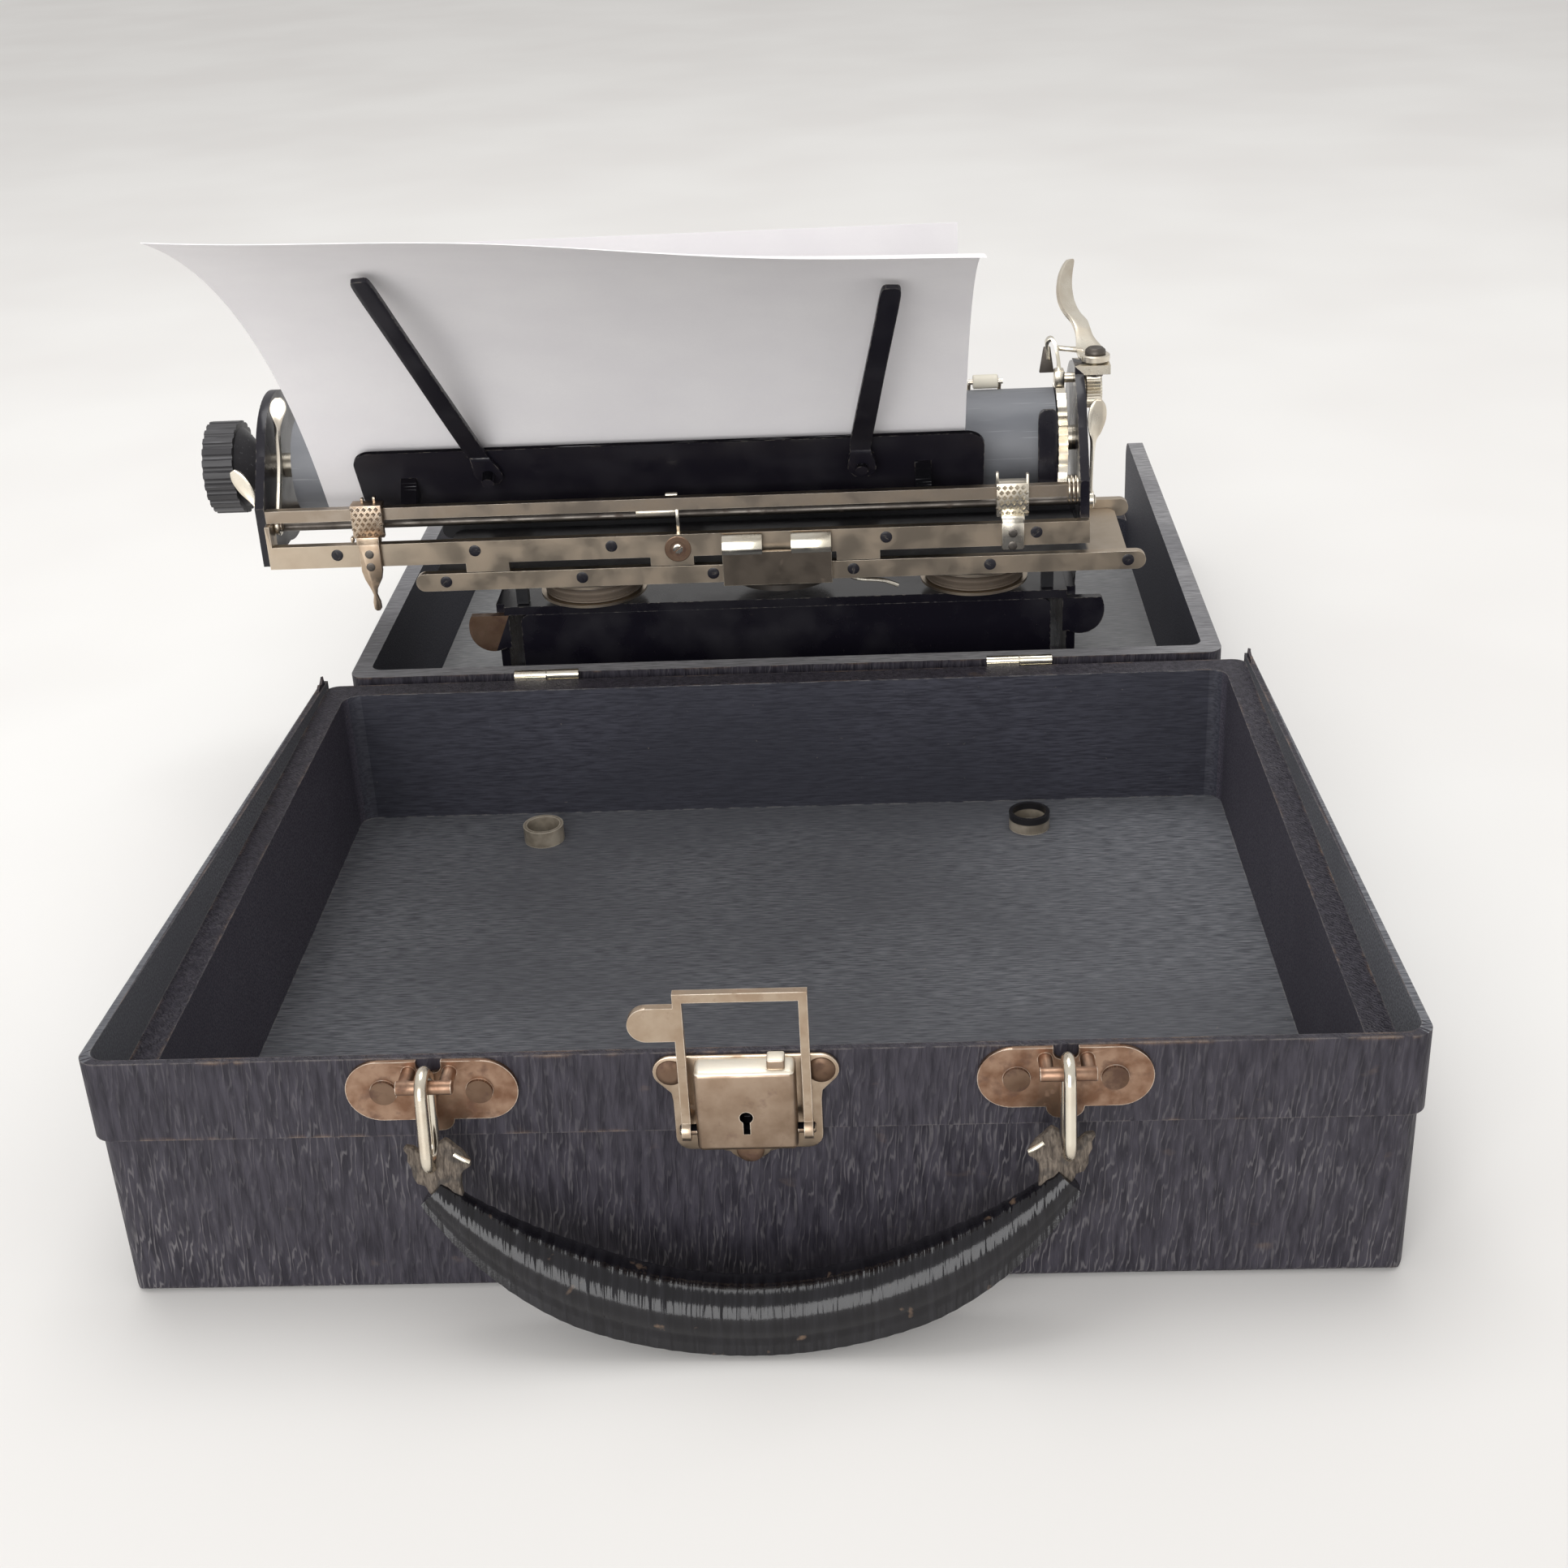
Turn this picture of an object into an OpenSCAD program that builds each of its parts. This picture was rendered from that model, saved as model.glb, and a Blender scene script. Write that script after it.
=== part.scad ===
// Folding portable typewriter standing in the base of its open carrying case.
// Millimetres. X runs across the machine, the typist sits on the -Y side, the open lid lies on
// the +Y side, Z is up and the origin is the centre of the base's underside.

/* [Case] */
// Free room beside the machine, each side
side_room = 38; // [32:1:45]
// Free room behind the machine, under the carriage
rear_room = 27; // [22:1:32]
// Free room in front of the machine
front_room = 3; // [1:0.5:6]
// Height of the base walls
base_h = 51; // [46:1:54]
// Height of the base's front wall, which is low to leave the keys free
base_front_h = 18; // [12:1:24]
// Radius of the side walls' corners above the low front wall
base_front_r = 8; // [4:1:14]
// Thickness of the base walls
base_wall = 6; // [5:0.5:8]
// Thickness of the base floor
base_floor = 5; // [4:0.5:7]
// Radius of the case's upright corners
corner_r = 5; // [3:0.5:8]
// Radius of the case's bottom edges
edge_r = 2.5; // [1:0.5:4]
// Height of the lid's inner wall, where the base's rim rests
lid_h = 50; // [46:1:54]
// Thickness of the lid's walls
lid_wall = 8; // [7:0.5:10]
// Thickness of the lid's floor
lid_floor = 5; // [4:0.5:7]
// Gap between the base's side and the lid's flange, when closed
flange_gap = 6; // [3:0.5:8]
// Gap between the base's front and the lid's flange, when closed
flange_front_gap = 15; // [8:0.5:18]
// Thickness of the lid's flange
flange_t = 2; // [1.8:0.1:4]
// How far the flange stands out from the lid's wall
flange_proud = 1.2; // [0.8:0.1:2]
// Height of the flange above the inner wall, at the handle
flange_rise = 16; // [12:1:20]
// Height of the flange above the inner wall, at the hinge
flange_rise_hinge = 2; // [1:0.5:6]
// How far the flange laps down over the lid's wall
flange_lap = 5; // [3:0.5:8]

/* [Hinges and cups] */
// Distance of each hinge from the middle
hinge_x = 77; // [50:1:100]
// Length of a hinge
hinge_len = 21; // [16:1:30]
// Diameter of a hinge knuckle
knuckle_d = 3.4; // [3:0.1:3.6]
// Diameter of a hinge pin
hinge_pin_d = 1.6; // [1.2:0.1:2]
// Thickness of a hinge leaf
leaf_t = 0.8; // [0.6:0.1:1]
// Height of a hinge leaf
leaf_h = 10; // [7:1:14]
// Distance of each foot cup from the middle
cup_x = 78.5; // [60:0.5:95]
// Distance of the foot cups from the hinge line
cup_y = 28; // [22:1:60]
// Outside diameter of a foot cup
cup_d = 13; // [11:0.5:16]
// Wall of a foot cup
cup_wall = 1.2; // [0.8:0.1:2]
// Height of a foot cup
cup_h = 5.5; // [5:0.5:8]

/* [Lock and handle] */
// Width of the lock plate's body
lock_w = 33.5; // [30:0.5:40]
// Width across the lock plate's ears
lock_ear_w = 41.5; // [38:0.5:50]
// Width of the lock box
lock_box_w = 22.4; // [18:0.2:26]
// Height of the lock box
lock_box_h = 21; // [19:0.5:26]
// Depth of the lock box
lock_box_t = 6.5; // [5:0.5:9]
// Thickness of the lock and handle plates
plate_t = 1.2; // [0.8:0.1:2]
// Height of the hasp above its pivot
hasp_h = 36; // [30:0.5:40]
// Width of the hasp's legs
hasp_leg = 2; // [1.5:0.1:3]
// Thickness of the hasp
hasp_t = 2; // [1.2:0.1:2.6]
// Distance of each handle plate from the middle
handle_x = 70.5; // [60:0.5:80]
// Length of a handle plate
handle_plate_w = 39; // [30:1:46]
// Height of a handle plate
handle_plate_h = 15.5; // [12:0.5:18]
// Distance of the handle's pivot bar from its plate
handle_bar_off = 6; // [5.6:0.1:8]
// Diameter of the handle's pivot bar
handle_bar_d = 3.2; // [2.4:0.1:3.6]
// Diameter of the handle rings' wire
ring_wire = 2.9; // [2:0.1:3]
// Inside radius of the handle rings' ends
ring_in_r = 2.6; // [2.4:0.1:3]
// Straight length of the handle rings
ring_straight = 14; // [12:1:18]
// Height of the pivot bar above the middle of its plate
handle_bar_up = 5; // [0:0.5:5]
// Drop of the grip's middle below its pivot, along the handle
grip_drop = 55.5; // [48:0.5:55.5]
// Diameter of the grip
grip_d = 16; // [12:0.5:17]
// Lean of the hanging handle from the wall, in degrees
handle_lean = 10.5; // [10.5:0.5:40]

/* [Machine] */
// Depth of the machine's frame
frame_d = 183; // [180:1:200]
// Height of the machine's body above its feet
body_h = 49; // [46:1:54]
// Height of the rubber feet
foot_h = 7; // [5:0.5:10]
// Diameter of the rubber feet
foot_d = 14; // [10:0.5:18]
// Thickness of the frame's plates
frame_t = 3; // [2:0.5:4]
// Key spacing along a bank
key_pitch = 18; // [17:0.5:19]
// Distance between the banks of keys
bank_pitch = 18; // [16:0.5:18.5]
// Rise from one bank to the next
bank_rise = 7; // [5:0.5:8]
// Diameter of a key top
key_d = 13.6; // [11:0.2:14.4]
// Thickness of a key top
key_t = 4; // [3:0.5:5]
// Thickness of a key lever
lever_t = 1.4; // [1:0.1:1.8]
// Height of a key lever's bar
lever_h = 4.5; // [3.5:0.5:5]
// Diameter of the key levers' pivot rod
fulcrum_d = 3.2; // [2.4:0.2:4]
// Length of the space bar's pad
space_w = 104; // [80:2:130]
// Diameter of a shift key's top
shift_d = 12; // [9:0.5:12.5]
// Length of a typebar
typebar_len = 36; // [30:1:38]
// Distance of each ribbon spool from the middle
spool_x = 64.5; // [58:0.5:68]
// Diameter of a ribbon spool
spool_d = 36; // [28:1:38]
// Height of a ribbon spool
spool_h = 7.4; // [6:0.2:9]
// Diameter of a spool's spindle
spindle_d = 5; // [3:0.5:7]

/* [Carriage] */
// Distance of the carriage's middle from the machine's middle
carriage_off = 34; // [0:1:40]
// Length of the platen's roller
platen_len = 250; // [230:2:260]
// Diameter of the platen's roller
platen_d = 33; // [28:0.5:34]
// Diameter of the platen's shaft
shaft_d = 8; // [6:0.5:9]
// Diameter of the platen's knob
knob_d = 30.6; // [24:0.2:34]
// Width of the platen knob's fluted rim
knob_w = 10; // [7:0.5:14]
// Distance from the roller to an end plate
end_gap = 6; // [5.5:0.5:10]
// Half length of the fixed rails
rail_half = 118; // [114:1:124]
// Height of the fixed rails
rail_h = 6; // [5:0.5:7]
// Height of the carriage's rear bar
bar_h = 7.5; // [6:0.5:8.5]
// Height of the margin bar
margin_h = 4; // [3:0.5:5]
// Width of the paper table
table_w = 202; // [160:2:210]
// Slope of the paper table, in degrees
table_slope = 60; // [60:1:64]
// Length of a paper arm
arm_len = 110; // [60:1:110]
// Width of a paper arm
arm_w = 8.5; // [6:0.5:10]
// Lean of the paper arms behind the paper table, in degrees
arm_bend = 16; // [14:0.5:24]
// Width of the loaded sheet of paper
sheet_w = 210; // [148:1:216]
// Length of the loaded sheet of paper
sheet_len = 297; // [270:1:297]
// Diameter of the mainspring drum
drum_d = 34; // [26:1:40]

/* [Hidden] */
$fn = 48;
// Clearance between seated pieces that stay separate solids
seat = 0.05;
// Radial running clearance of pins and shafts
run = 0.05;
// Clearance between faces that slide past each other
slide_gap = 0.3;

// Heights of the machine
machine_z = base_floor + foot_h;
shelf_z = machine_z + body_h;
bed_z = shelf_z + 18;
bed_t = 2;
rail_z = bed_z - 1;
rail_top = rail_z + rail_h;
shoe_h = 3.3;
bar_z = rail_top + shoe_h;
bar_top = bar_z + bar_h;
margin_z = bar_top + 7.2;
platen_z = bar_z + 23.5;
pivot_z = machine_z + 28;
fulcrum_z = machine_z + 10;

// Key bank: one lever for each key, side by side, the banks taking turns
KEYS = ["q", "a", "z", "w", "s", "x", "e", "d", "c", "r", "f", "v", "t", "g", "b", "y", "h", "n",
        "u", "j", "m", "i", "k", "comma", "o", "l", "period", "p"];
banks = 3;
lever_pitch = key_pitch / banks;
key_span = (len(KEYS) - 1) * lever_pitch;
space_arm_x = key_span / 2 + 4;
shift_x = key_span / 2 + 8;
plate_in = shift_x + shift_d / 2 + 0.5;
plate_out = plate_in + frame_t;
panel_half = plate_in - 5.5;
arm_x = plate_out + 0.5;
arm_t = 3.5;

// Plan of the case, from the machine that it holds
base_w = 2 * (plate_out + side_room + 0.5 + base_wall);
base_d = frame_d + rear_room + front_room + 2 * base_wall;
back_y = base_d / 2;
hinge_half_gap = knuckle_d / 2 + 0.3;
hinge_y = back_y + hinge_half_gap;
hinge_z = base_h;
lid_back = hinge_y + hinge_half_gap;
flange_in_x = base_w / 2 + flange_gap;
flange_out_x = flange_in_x + flange_t;
lid_out_x = flange_out_x - flange_proud;
flange_in_y = hinge_y + hinge_half_gap + base_d + flange_front_gap;
lid_front = flange_in_y + flange_t;
lid_out_y = lid_front - flange_proud;
flange_low = lid_h - flange_lap;
flange_top = lid_h + flange_rise;

// Plan of the machine
rear_y = back_y - base_wall - rear_room;
front_y = rear_y - frame_d;
pivot_y = rear_y - 75;
pivot_d = 8;
fulcrum_y = rear_y - 31.5;
basket_y = rear_y - 51.5;
bank_y = front_y + 19.5;
bank_z = machine_z + 24;
comb_y = bank_y + 48;
shelf_front = rear_y - 27.5;
spool_y = rear_y - 6;
rail_t = 3;
rear_rail_y = rear_y + 23.5;
front_rail_y = rear_y - 26.5;
platen_y = rear_y - 10;
drum_y = rear_y - 10;

// Plan of the carriage
plate3 = 3;
end_in_low = carriage_off - platen_len / 2 - end_gap;
end_in_high = carriage_off + platen_len / 2 + end_gap;
end_out_low = end_in_low - plate3;
end_out_high = end_in_high + plate3;
end_r = platen_d / 2 + 8.5;
margin_t = 2.9;
margin_y = rear_rail_y - seat - margin_t;
release_y = rear_rail_y - 11;
release_z = bar_z + 9.7;
release_d = 3;
pull_y = margin_y - 2.6;
pull_z = margin_z - 2.6;
ear_x = end_in_high - seat;
ear_t = 1.5;
stop_left_x = end_in_low + 21.6;
stop_right_x = end_in_high - 33.5;

// Paper table: a trough round the platen, then a flat slope up to its top edge
trough_r = platen_d / 2 + 3.5;
table_t = 1.2;
table_rise = 27;
trough_end = table_slope - 90;
table_y0 = platen_y + trough_r * cos(trough_end);
table_z0 = platen_z + trough_r * sin(trough_end);
arm_pivot_up = table_rise - 10;
arm_pivot_d = 4;
arm_t2 = 1.4;
arm_stack = 2.2;
arm_left_x = carriage_off - 62;
arm_right_x = carriage_off + 58;

// Loaded sheet: down the platen's front, round under it and back over the table in one long arc
sheet_t = 0.3;
sheet_r = platen_d / 2 + 0.4;
sheet_front = 68;
sheet_leave = 62;
sheet_end = 19;
sheet_x = carriage_off + 10;

// Lock, hasp and handle on the lid's front
lock_top = flange_top - 0.5;
lock_box_z = lock_top - lock_box_h;
lock_low = lock_box_z - 4;
lock_face = lid_front + plate_t;
hasp_y = lock_face + 3.4;
hasp_z = lock_box_z + 4;
hasp_pin_d = 2.4;
hasp_in = lock_box_w / 2 + 1.4;
handle_z = flange_low + 13;
handle_pivot_z = handle_z + handle_bar_up;
handle_y = lid_front + plate_t + handle_bar_off;
ring_top = ring_in_r - handle_bar_d / 2 - slide_gap;
ring_low = ring_top + ring_straight;
grip_end = ring_low + 10;
grip_sag = grip_drop - grip_end;
grip_r = (handle_x * handle_x + grip_sag * grip_sag) / (2 * grip_sag);
grip_half = asin(handle_x / grip_r);

FIXED = ["case_base", "base_hinge_leaves", "machine_frame", "machine_feet", "type_basket",
         "lever_comb"];
ON_MACHINE = ["ribbon_spool_left", "ribbon_spool_right", "space_bar", "shift_keys"];
ON_LID = ["case_lid", "lid_hinge_leaves", "lid_cups", "lock_plate", "lock_hasp", "handle_plates",
          "handle_rings", "handle_grip"];
ON_FOLD = ["carriage_rails", "fold_arms", "mainspring_drum"];
ON_CARRIAGE = ["carriage_frame", "paper_table", "paper_sheet", "platen", "margin_stop_left",
               "margin_stop_right", "paper_arm_left", "paper_arm_right", "return_lever",
               "paper_release", "carriage_release"];
KEY_NODES = [for (k = KEYS) str("key_", k)];

leatherette = "#23252c";
japan_black = "#15151a";
nickel = "#a79f8f";

// Drawing helpers

// A profile in the Y-Z plane, extruded along X from x0
module side_profile(x0, t) {
    translate([x0, 0, 0]) rotate([90, 0, 90]) linear_extrude(t) children();
}

// A profile in the X-Z plane, extruded along Y from y0
module back_profile(y0, t) {
    translate([0, y0 + t, 0]) rotate([90, 0, 0]) linear_extrude(t) children();
}

// A block between two corners
module block(low, high) {
    translate(low) cube(high - low);
}

// A round bar along X
module bar_x(x0, x1, y, z, d) {
    translate([x0, y, z]) rotate([0, 90, 0]) cylinder(h = x1 - x0, d = d);
}

// A flat rectangle with round corners, centred
module rounded_rect(w, d, r) {
    square([w - 2 * r, d], center = true);
    square([w, d - 2 * r], center = true);
    for (x = [-1, 1], y = [-1, 1]) translate([x * (w / 2 - r), y * (d / 2 - r)]) circle(r);
}

// A wall's outline, standing on its lower edge, with round lower corners
module footed_rect(w, h, r) {
    translate([-w / 2, r]) square([w, h - r]);
    translate([-w / 2 + r, 0]) square([w - 2 * r, h]);
    for (x = [-1, 1]) translate([x * (w / 2 - r), r]) circle(r);
}

// A flat strip with round ends, between two points
module strip(p, q, w) {
    v = q - p;
    translate(p) rotate(atan2(v.y, v.x)) {
        translate([0, -w / 2]) square([norm(v), w]);
        circle(d = w);
        translate([norm(v), 0]) circle(d = w);
    }
}

// A closed box with round upright corners and round bottom edges
module tray_block(w, d, h) {
    intersection() {
        linear_extrude(h) rounded_rect(w, d, corner_r);
        back_profile(-d, 2 * d) footed_rect(w, h, edge_r);
        side_profile(-w, 2 * w) footed_rect(d, h, edge_r);
    }
}

// Both sides of the machine
module both_sides() {
    for (s = [-1, 1]) scale([s, 1, 1]) children();
}

// Case

module case_base() {
    color(leatherette) difference() {
        tray_block(base_w, base_d, base_h);
        translate([0, 0, base_floor]) linear_extrude(base_h)
            rounded_rect(base_w - 2 * base_wall, base_d - 2 * base_wall, corner_r - 1);
        low_front();
    }
}

// What is cut away above the base's low front wall
module low_front() {
    inner = base_w / 2 - base_wall;
    block([-inner, -back_y - 1, base_front_h], [inner, base_wall + corner_r - back_y, base_h + 1]);
    side_profile(-base_w, 2 * base_w) translate([base_front_r - back_y, base_h - base_front_r])
        difference() {
            translate([-base_front_r - 1, 0]) square([base_front_r + 1, base_front_r + 1]);
            circle(base_front_r);
        }
}

module case_lid() {
    lid_d = lid_out_y - lid_back;
    mid = (lid_out_y + lid_back) / 2;
    color(leatherette) difference() {
        union() {
            translate([0, mid, 0]) tray_block(2 * lid_out_x, lid_d, lid_h);
            lid_flange();
        }
        translate([0, mid, lid_floor]) linear_extrude(flange_top)
            rounded_rect(2 * (lid_out_x - lid_wall), lid_d - 2 * lid_wall, corner_r);
    }
}

// The lid's outer band: three sides, falling towards the hinge
module lid_flange() {
    reach = lid_front - lid_back;
    intersection() {
        translate([0, 0, flange_low]) linear_extrude(flange_rise + flange_lap) difference() {
            translate([0, lid_front - reach]) rounded_rect(2 * flange_out_x, 2 * reach, corner_r);
            translate([0, flange_in_y - reach]) rounded_rect(2 * flange_in_x, 2 * reach, corner_r);
            translate([-base_w, lid_back - 2 * reach]) square([2 * base_w, 2 * reach]);
        }
        side_profile(-base_w, 2 * base_w) polygon([
            [lid_back, flange_low], [lid_front, flange_low], [lid_front, flange_top],
            [lid_back, lid_h + flange_rise_hinge]]);
    }
}

// One hinge leaf on the wall face at y: its knuckle covers x0 to x1 of the hinge
module hinge_leaf(x, y, x0, x1) {
    leaf_top = hinge_z - knuckle_d / 2 - 0.4;
    block([x - hinge_len / 2, y, hinge_z - leaf_h], [x + hinge_len / 2, y + leaf_t, leaf_top]);
    block([x + x0, y, leaf_top - 1], [x + x1, y + leaf_t, hinge_z]);
    bar_x(x + x0, x + x1, hinge_y, hinge_z, knuckle_d);
}

module base_hinge_leaves() {
    color(nickel) for (s = [-1, 1]) difference() {
        hinge_leaf(s * hinge_x, back_y, -hinge_len / 2, -slide_gap / 2);
        bar_x(s * hinge_x - hinge_len, s * hinge_x + hinge_len, hinge_y, hinge_z,
              hinge_pin_d + 2 * run);
    }
}

module lid_hinge_leaves() {
    color(nickel) for (s = [-1, 1]) {
        hinge_leaf(s * hinge_x, lid_back - leaf_t, slide_gap / 2, hinge_len / 2);
        bar_x(s * hinge_x - hinge_len / 2, s * hinge_x + 1, hinge_y, hinge_z, hinge_pin_d);
    }
}

module lid_cups() {
    color(nickel) for (s = [-1, 1]) translate([s * cup_x, hinge_y + cup_y, lid_floor])
        rotate_extrude() translate([cup_d / 2 - cup_wall, 0]) square([cup_wall, cup_h]);
}

// Lock and handle

module lock_outline() {
    ear_h = 8;
    translate([0, (lock_top + lock_low) / 2]) rounded_rect(lock_w, lock_top - lock_low, 2.5);
    strip([-(lock_ear_w - ear_h) / 2, lock_top - ear_h / 2],
          [(lock_ear_w - ear_h) / 2, lock_top - ear_h / 2], ear_h);
    translate([0, lock_low + 1]) circle(5);
}

module lock_plate() {
    rivet_h = 0.9;
    color(nickel) {
        difference() {
            union() {
                back_profile(lid_front, plate_t) lock_outline();
                back_profile(lid_out_y, flange_proud + seat) intersection() {
                    lock_outline();
                    translate([-lock_w, 0]) square([2 * lock_w, flange_low - seat]);
                }
                back_profile(lock_face, lock_box_t) translate([0, lock_box_z + lock_box_h / 2])
                    rounded_rect(lock_box_w, lock_box_h, 1.5);
                for (s = [-1, 1]) translate([s * (lock_ear_w / 2 - 4), lock_face, lock_top - 4])
                    rotate([-90, 0, 0]) cylinder(h = rivet_h, d = 4.4);
                translate([0, lock_face, lock_low - 1]) rotate([-90, 0, 0]) cylinder(h = rivet_h, d = 4.4);
                bar_x(-hasp_in - hasp_leg - 0.6, hasp_in + hasp_leg + 0.6, hasp_y, hasp_z, hasp_pin_d);
                translate([-lock_box_w / 3.3, lock_face + lock_box_t / 2, lock_top - 1])
                    cylinder(h = 3.2, d = 4);
            }
            back_profile(lock_face + lock_box_t - 2, 3) keyhole();
        }
    }
}

module keyhole() {
    translate([0, lock_box_z + 9]) circle(1.5);
    translate([-0.7, lock_box_z + 4.5]) square([1.4, 4.5]);
}

module lock_hasp() {
    tab_h = 8.5;
    tab_z = hasp_z + hasp_h - 12;
    color(nickel) difference() {
        union() {
            back_profile(hasp_y - hasp_t / 2, hasp_t) {
                for (s = [-1, 1]) translate([s * (hasp_in + hasp_leg / 2) - hasp_leg / 2, hasp_z])
                    square([hasp_leg, hasp_h]);
                translate([-hasp_in - hasp_leg, hasp_z + hasp_h - 2.2])
                    square([2 * (hasp_in + hasp_leg), 2.2]);
                translate([hasp_in, tab_z]) square([8, tab_h]);
                translate([hasp_in + 8, tab_z + tab_h / 2]) circle(d = tab_h);
            }
            for (x = [-hasp_in - hasp_leg, hasp_in])
                bar_x(x, x + hasp_leg, hasp_y, hasp_z, hasp_pin_d + 2.6);
        }
        bar_x(-base_w, base_w, hasp_y, hasp_z, hasp_pin_d + 2 * run);
    }
}

module handle_plates() {
    post = 4.6;
    color(nickel) for (s = [-1, 1]) translate([s * handle_x, 0, 0]) {
        back_profile(lid_front, plate_t) handle_plate_outline();
        bar_x(-post - handle_bar_d / 2, post + handle_bar_d / 2, handle_y, handle_pivot_z, handle_bar_d);
        for (p = [-1, 1]) translate([p * post, lid_front + plate_t / 2, handle_pivot_z]) rotate([-90, 0, 0])
            cylinder(h = handle_bar_off + plate_t / 2, d = handle_bar_d);
        for (p = [-1, 1]) translate([p * handle_plate_w / 3.6, lid_front + plate_t / 2, handle_z])
            rotate([-90, 0, 0]) cylinder(h = plate_t / 2 + 0.9, d = 6);
    }
}

// A long plate with a tongue in its lower edge, and a notch for the ring in its upper edge
module handle_plate_outline() {
    tongue_w = 8.6;
    notch_w = 5.6;
    difference() {
        union() {
            strip([-(handle_plate_w - handle_plate_h) / 2, handle_z],
                  [(handle_plate_w - handle_plate_h) / 2, handle_z], handle_plate_h);
            translate([0, handle_z - 3]) rounded_rect(tongue_w, handle_plate_h, 3);
        }
        translate([0, handle_z + handle_plate_h / 2]) rounded_rect(notch_w, 6, 2);
    }
}

// Turns a shape drawn hanging along -Z below the origin into the leaning handle
module in_handle() {
    translate([0, handle_y, handle_pivot_z]) rotate([handle_lean, 0, 0]) children();
}

module handle_rings() {
    mid_r = ring_in_r + ring_wire / 2;
    color(nickel) in_handle() for (s = [-1, 1]) translate([s * handle_x, 0, 0]) {
        translate([0, 0, -ring_top]) rotate([0, -90, 0]) half_ring(mid_r);
        translate([0, 0, -ring_low]) rotate([0, 90, 0]) half_ring(mid_r);
        for (v = [-1, 1]) translate([0, v * mid_r, -ring_low]) cylinder(h = ring_straight, d = ring_wire);
    }
}

// Half of a wire ring, bulging towards +X, with its ends at +Y and -Y
module half_ring(r) {
    rotate([0, 0, -90]) rotate_extrude(angle = 180) translate([r, 0]) circle(d = ring_wire, $fn = 24);
}

module handle_grip() {
    taper = 6;
    end_d = grip_d - 5;
    tab_t = 2 * ring_in_r - 1.2;
    tab_w = 8;
    hole_u = ring_low + ring_in_r + ring_wire / 2;
    color("#17171b") in_handle() {
        translate([0, 0, -grip_drop + grip_r]) rotate([-90, 0, 0]) {
            grip_arc(-grip_half + taper, grip_half - taper, grip_d);
            for (s = [-1, 1]) grip_arc(s * (grip_half - taper / 2) - taper / 2 - 0.5,
                                       s * (grip_half - taper / 2) + taper / 2, end_d);
        }
        for (s = [-1, 1]) translate([s * handle_x, 0, 0]) difference() {
            block([-tab_w / 2, -tab_t / 2, -grip_end - 3], [tab_w / 2, tab_t / 2, -ring_low]);
            translate([0, 0, -hole_u]) rotate([90, 0, 0])
                cylinder(h = 20, d = ring_wire + 2.2, center = true);
        }
    }
}

// A stretch of the grip's arc, angles measured from its middle
module grip_arc(a0, a1, d) {
    rotate([0, 0, 90 + a0]) rotate_extrude(angle = a1 - a0) translate([grip_r, 0]) circle(d = d, $fn = 32);
}

// Machine body

module frame_side() {
    polygon([[front_y, machine_z], [rear_y - frame_t - seat, machine_z],
             [rear_y - frame_t - seat, shelf_z], [pivot_y - 16, shelf_z],
             [pivot_y - 48, machine_z + 16], [front_y + 5, machine_z + 12]]);
    translate([front_y + 5, machine_z + 7]) circle(5);
}

module machine_frame() {
    inner = plate_in - seat;
    wing_z = shelf_z - 15;
    wing_x = plate_out + 9.5;
    color(japan_black) {
        both_sides() {
            side_profile(plate_in, frame_t) frame_side();
            bar_x(plate_out - 0.5, arm_x + arm_t + 1, pivot_y, pivot_z, pivot_d);
            bar_x(arm_x + arm_t + slide_gap, arm_x + arm_t + 2.3, pivot_y, pivot_z, pivot_d + 5);
            back_profile(rear_y - frame_t, frame_t) intersection() {
                translate([0, (wing_z + shelf_z) / 2])
                    rounded_rect(2 * wing_x, shelf_z - frame_t - seat - wing_z + 3, 8);
                translate([panel_half + 4, wing_z - 8]) square([wing_x, shelf_z - frame_t - seat - wing_z + 8]);
            }
            translate([spool_x, spool_y, shelf_z + seat]) cylinder(h = 3.5, d = 12);
            translate([spool_x, spool_y, shelf_z + 1]) cylinder(h = spool_h + 4.5, d = spindle_d);
        }
        back_profile(rear_y - frame_t, frame_t)
            translate([0, (machine_z + shelf_z - frame_t - seat) / 2])
                rounded_rect(2 * panel_half, body_h - frame_t - seat, 3);
        block([-inner, shelf_front, shelf_z - frame_t], [inner, rear_y, shelf_z]);
        block([-inner, front_y, machine_z], [inner, front_y + 2, machine_z + 12]);
        block([-inner, basket_y - 8, machine_z], [inner, basket_y, machine_z + 3]);
    }
}

module machine_feet() {
    color("#26262a") both_sides() for (y = [front_y + 14, rear_y - 14])
        translate([plate_in + frame_t / 2, y, base_floor])
            cylinder(h = foot_h, d1 = foot_d - 2, d2 = foot_d);
}

// Type basket: a slotted segment with the typebars lying in it like a fan
bar_count = 28;
fan = 160;
segment_in = 22;
segment_out = 30;
segment_z = shelf_z - 11;
segment_h = 8;
slot_w = 0.95;
typebar_t = 0.8;
typebar_fall = 12;

function fan_angle(i) = -90 - fan / 2 + i * fan / (bar_count - 1);

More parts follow.
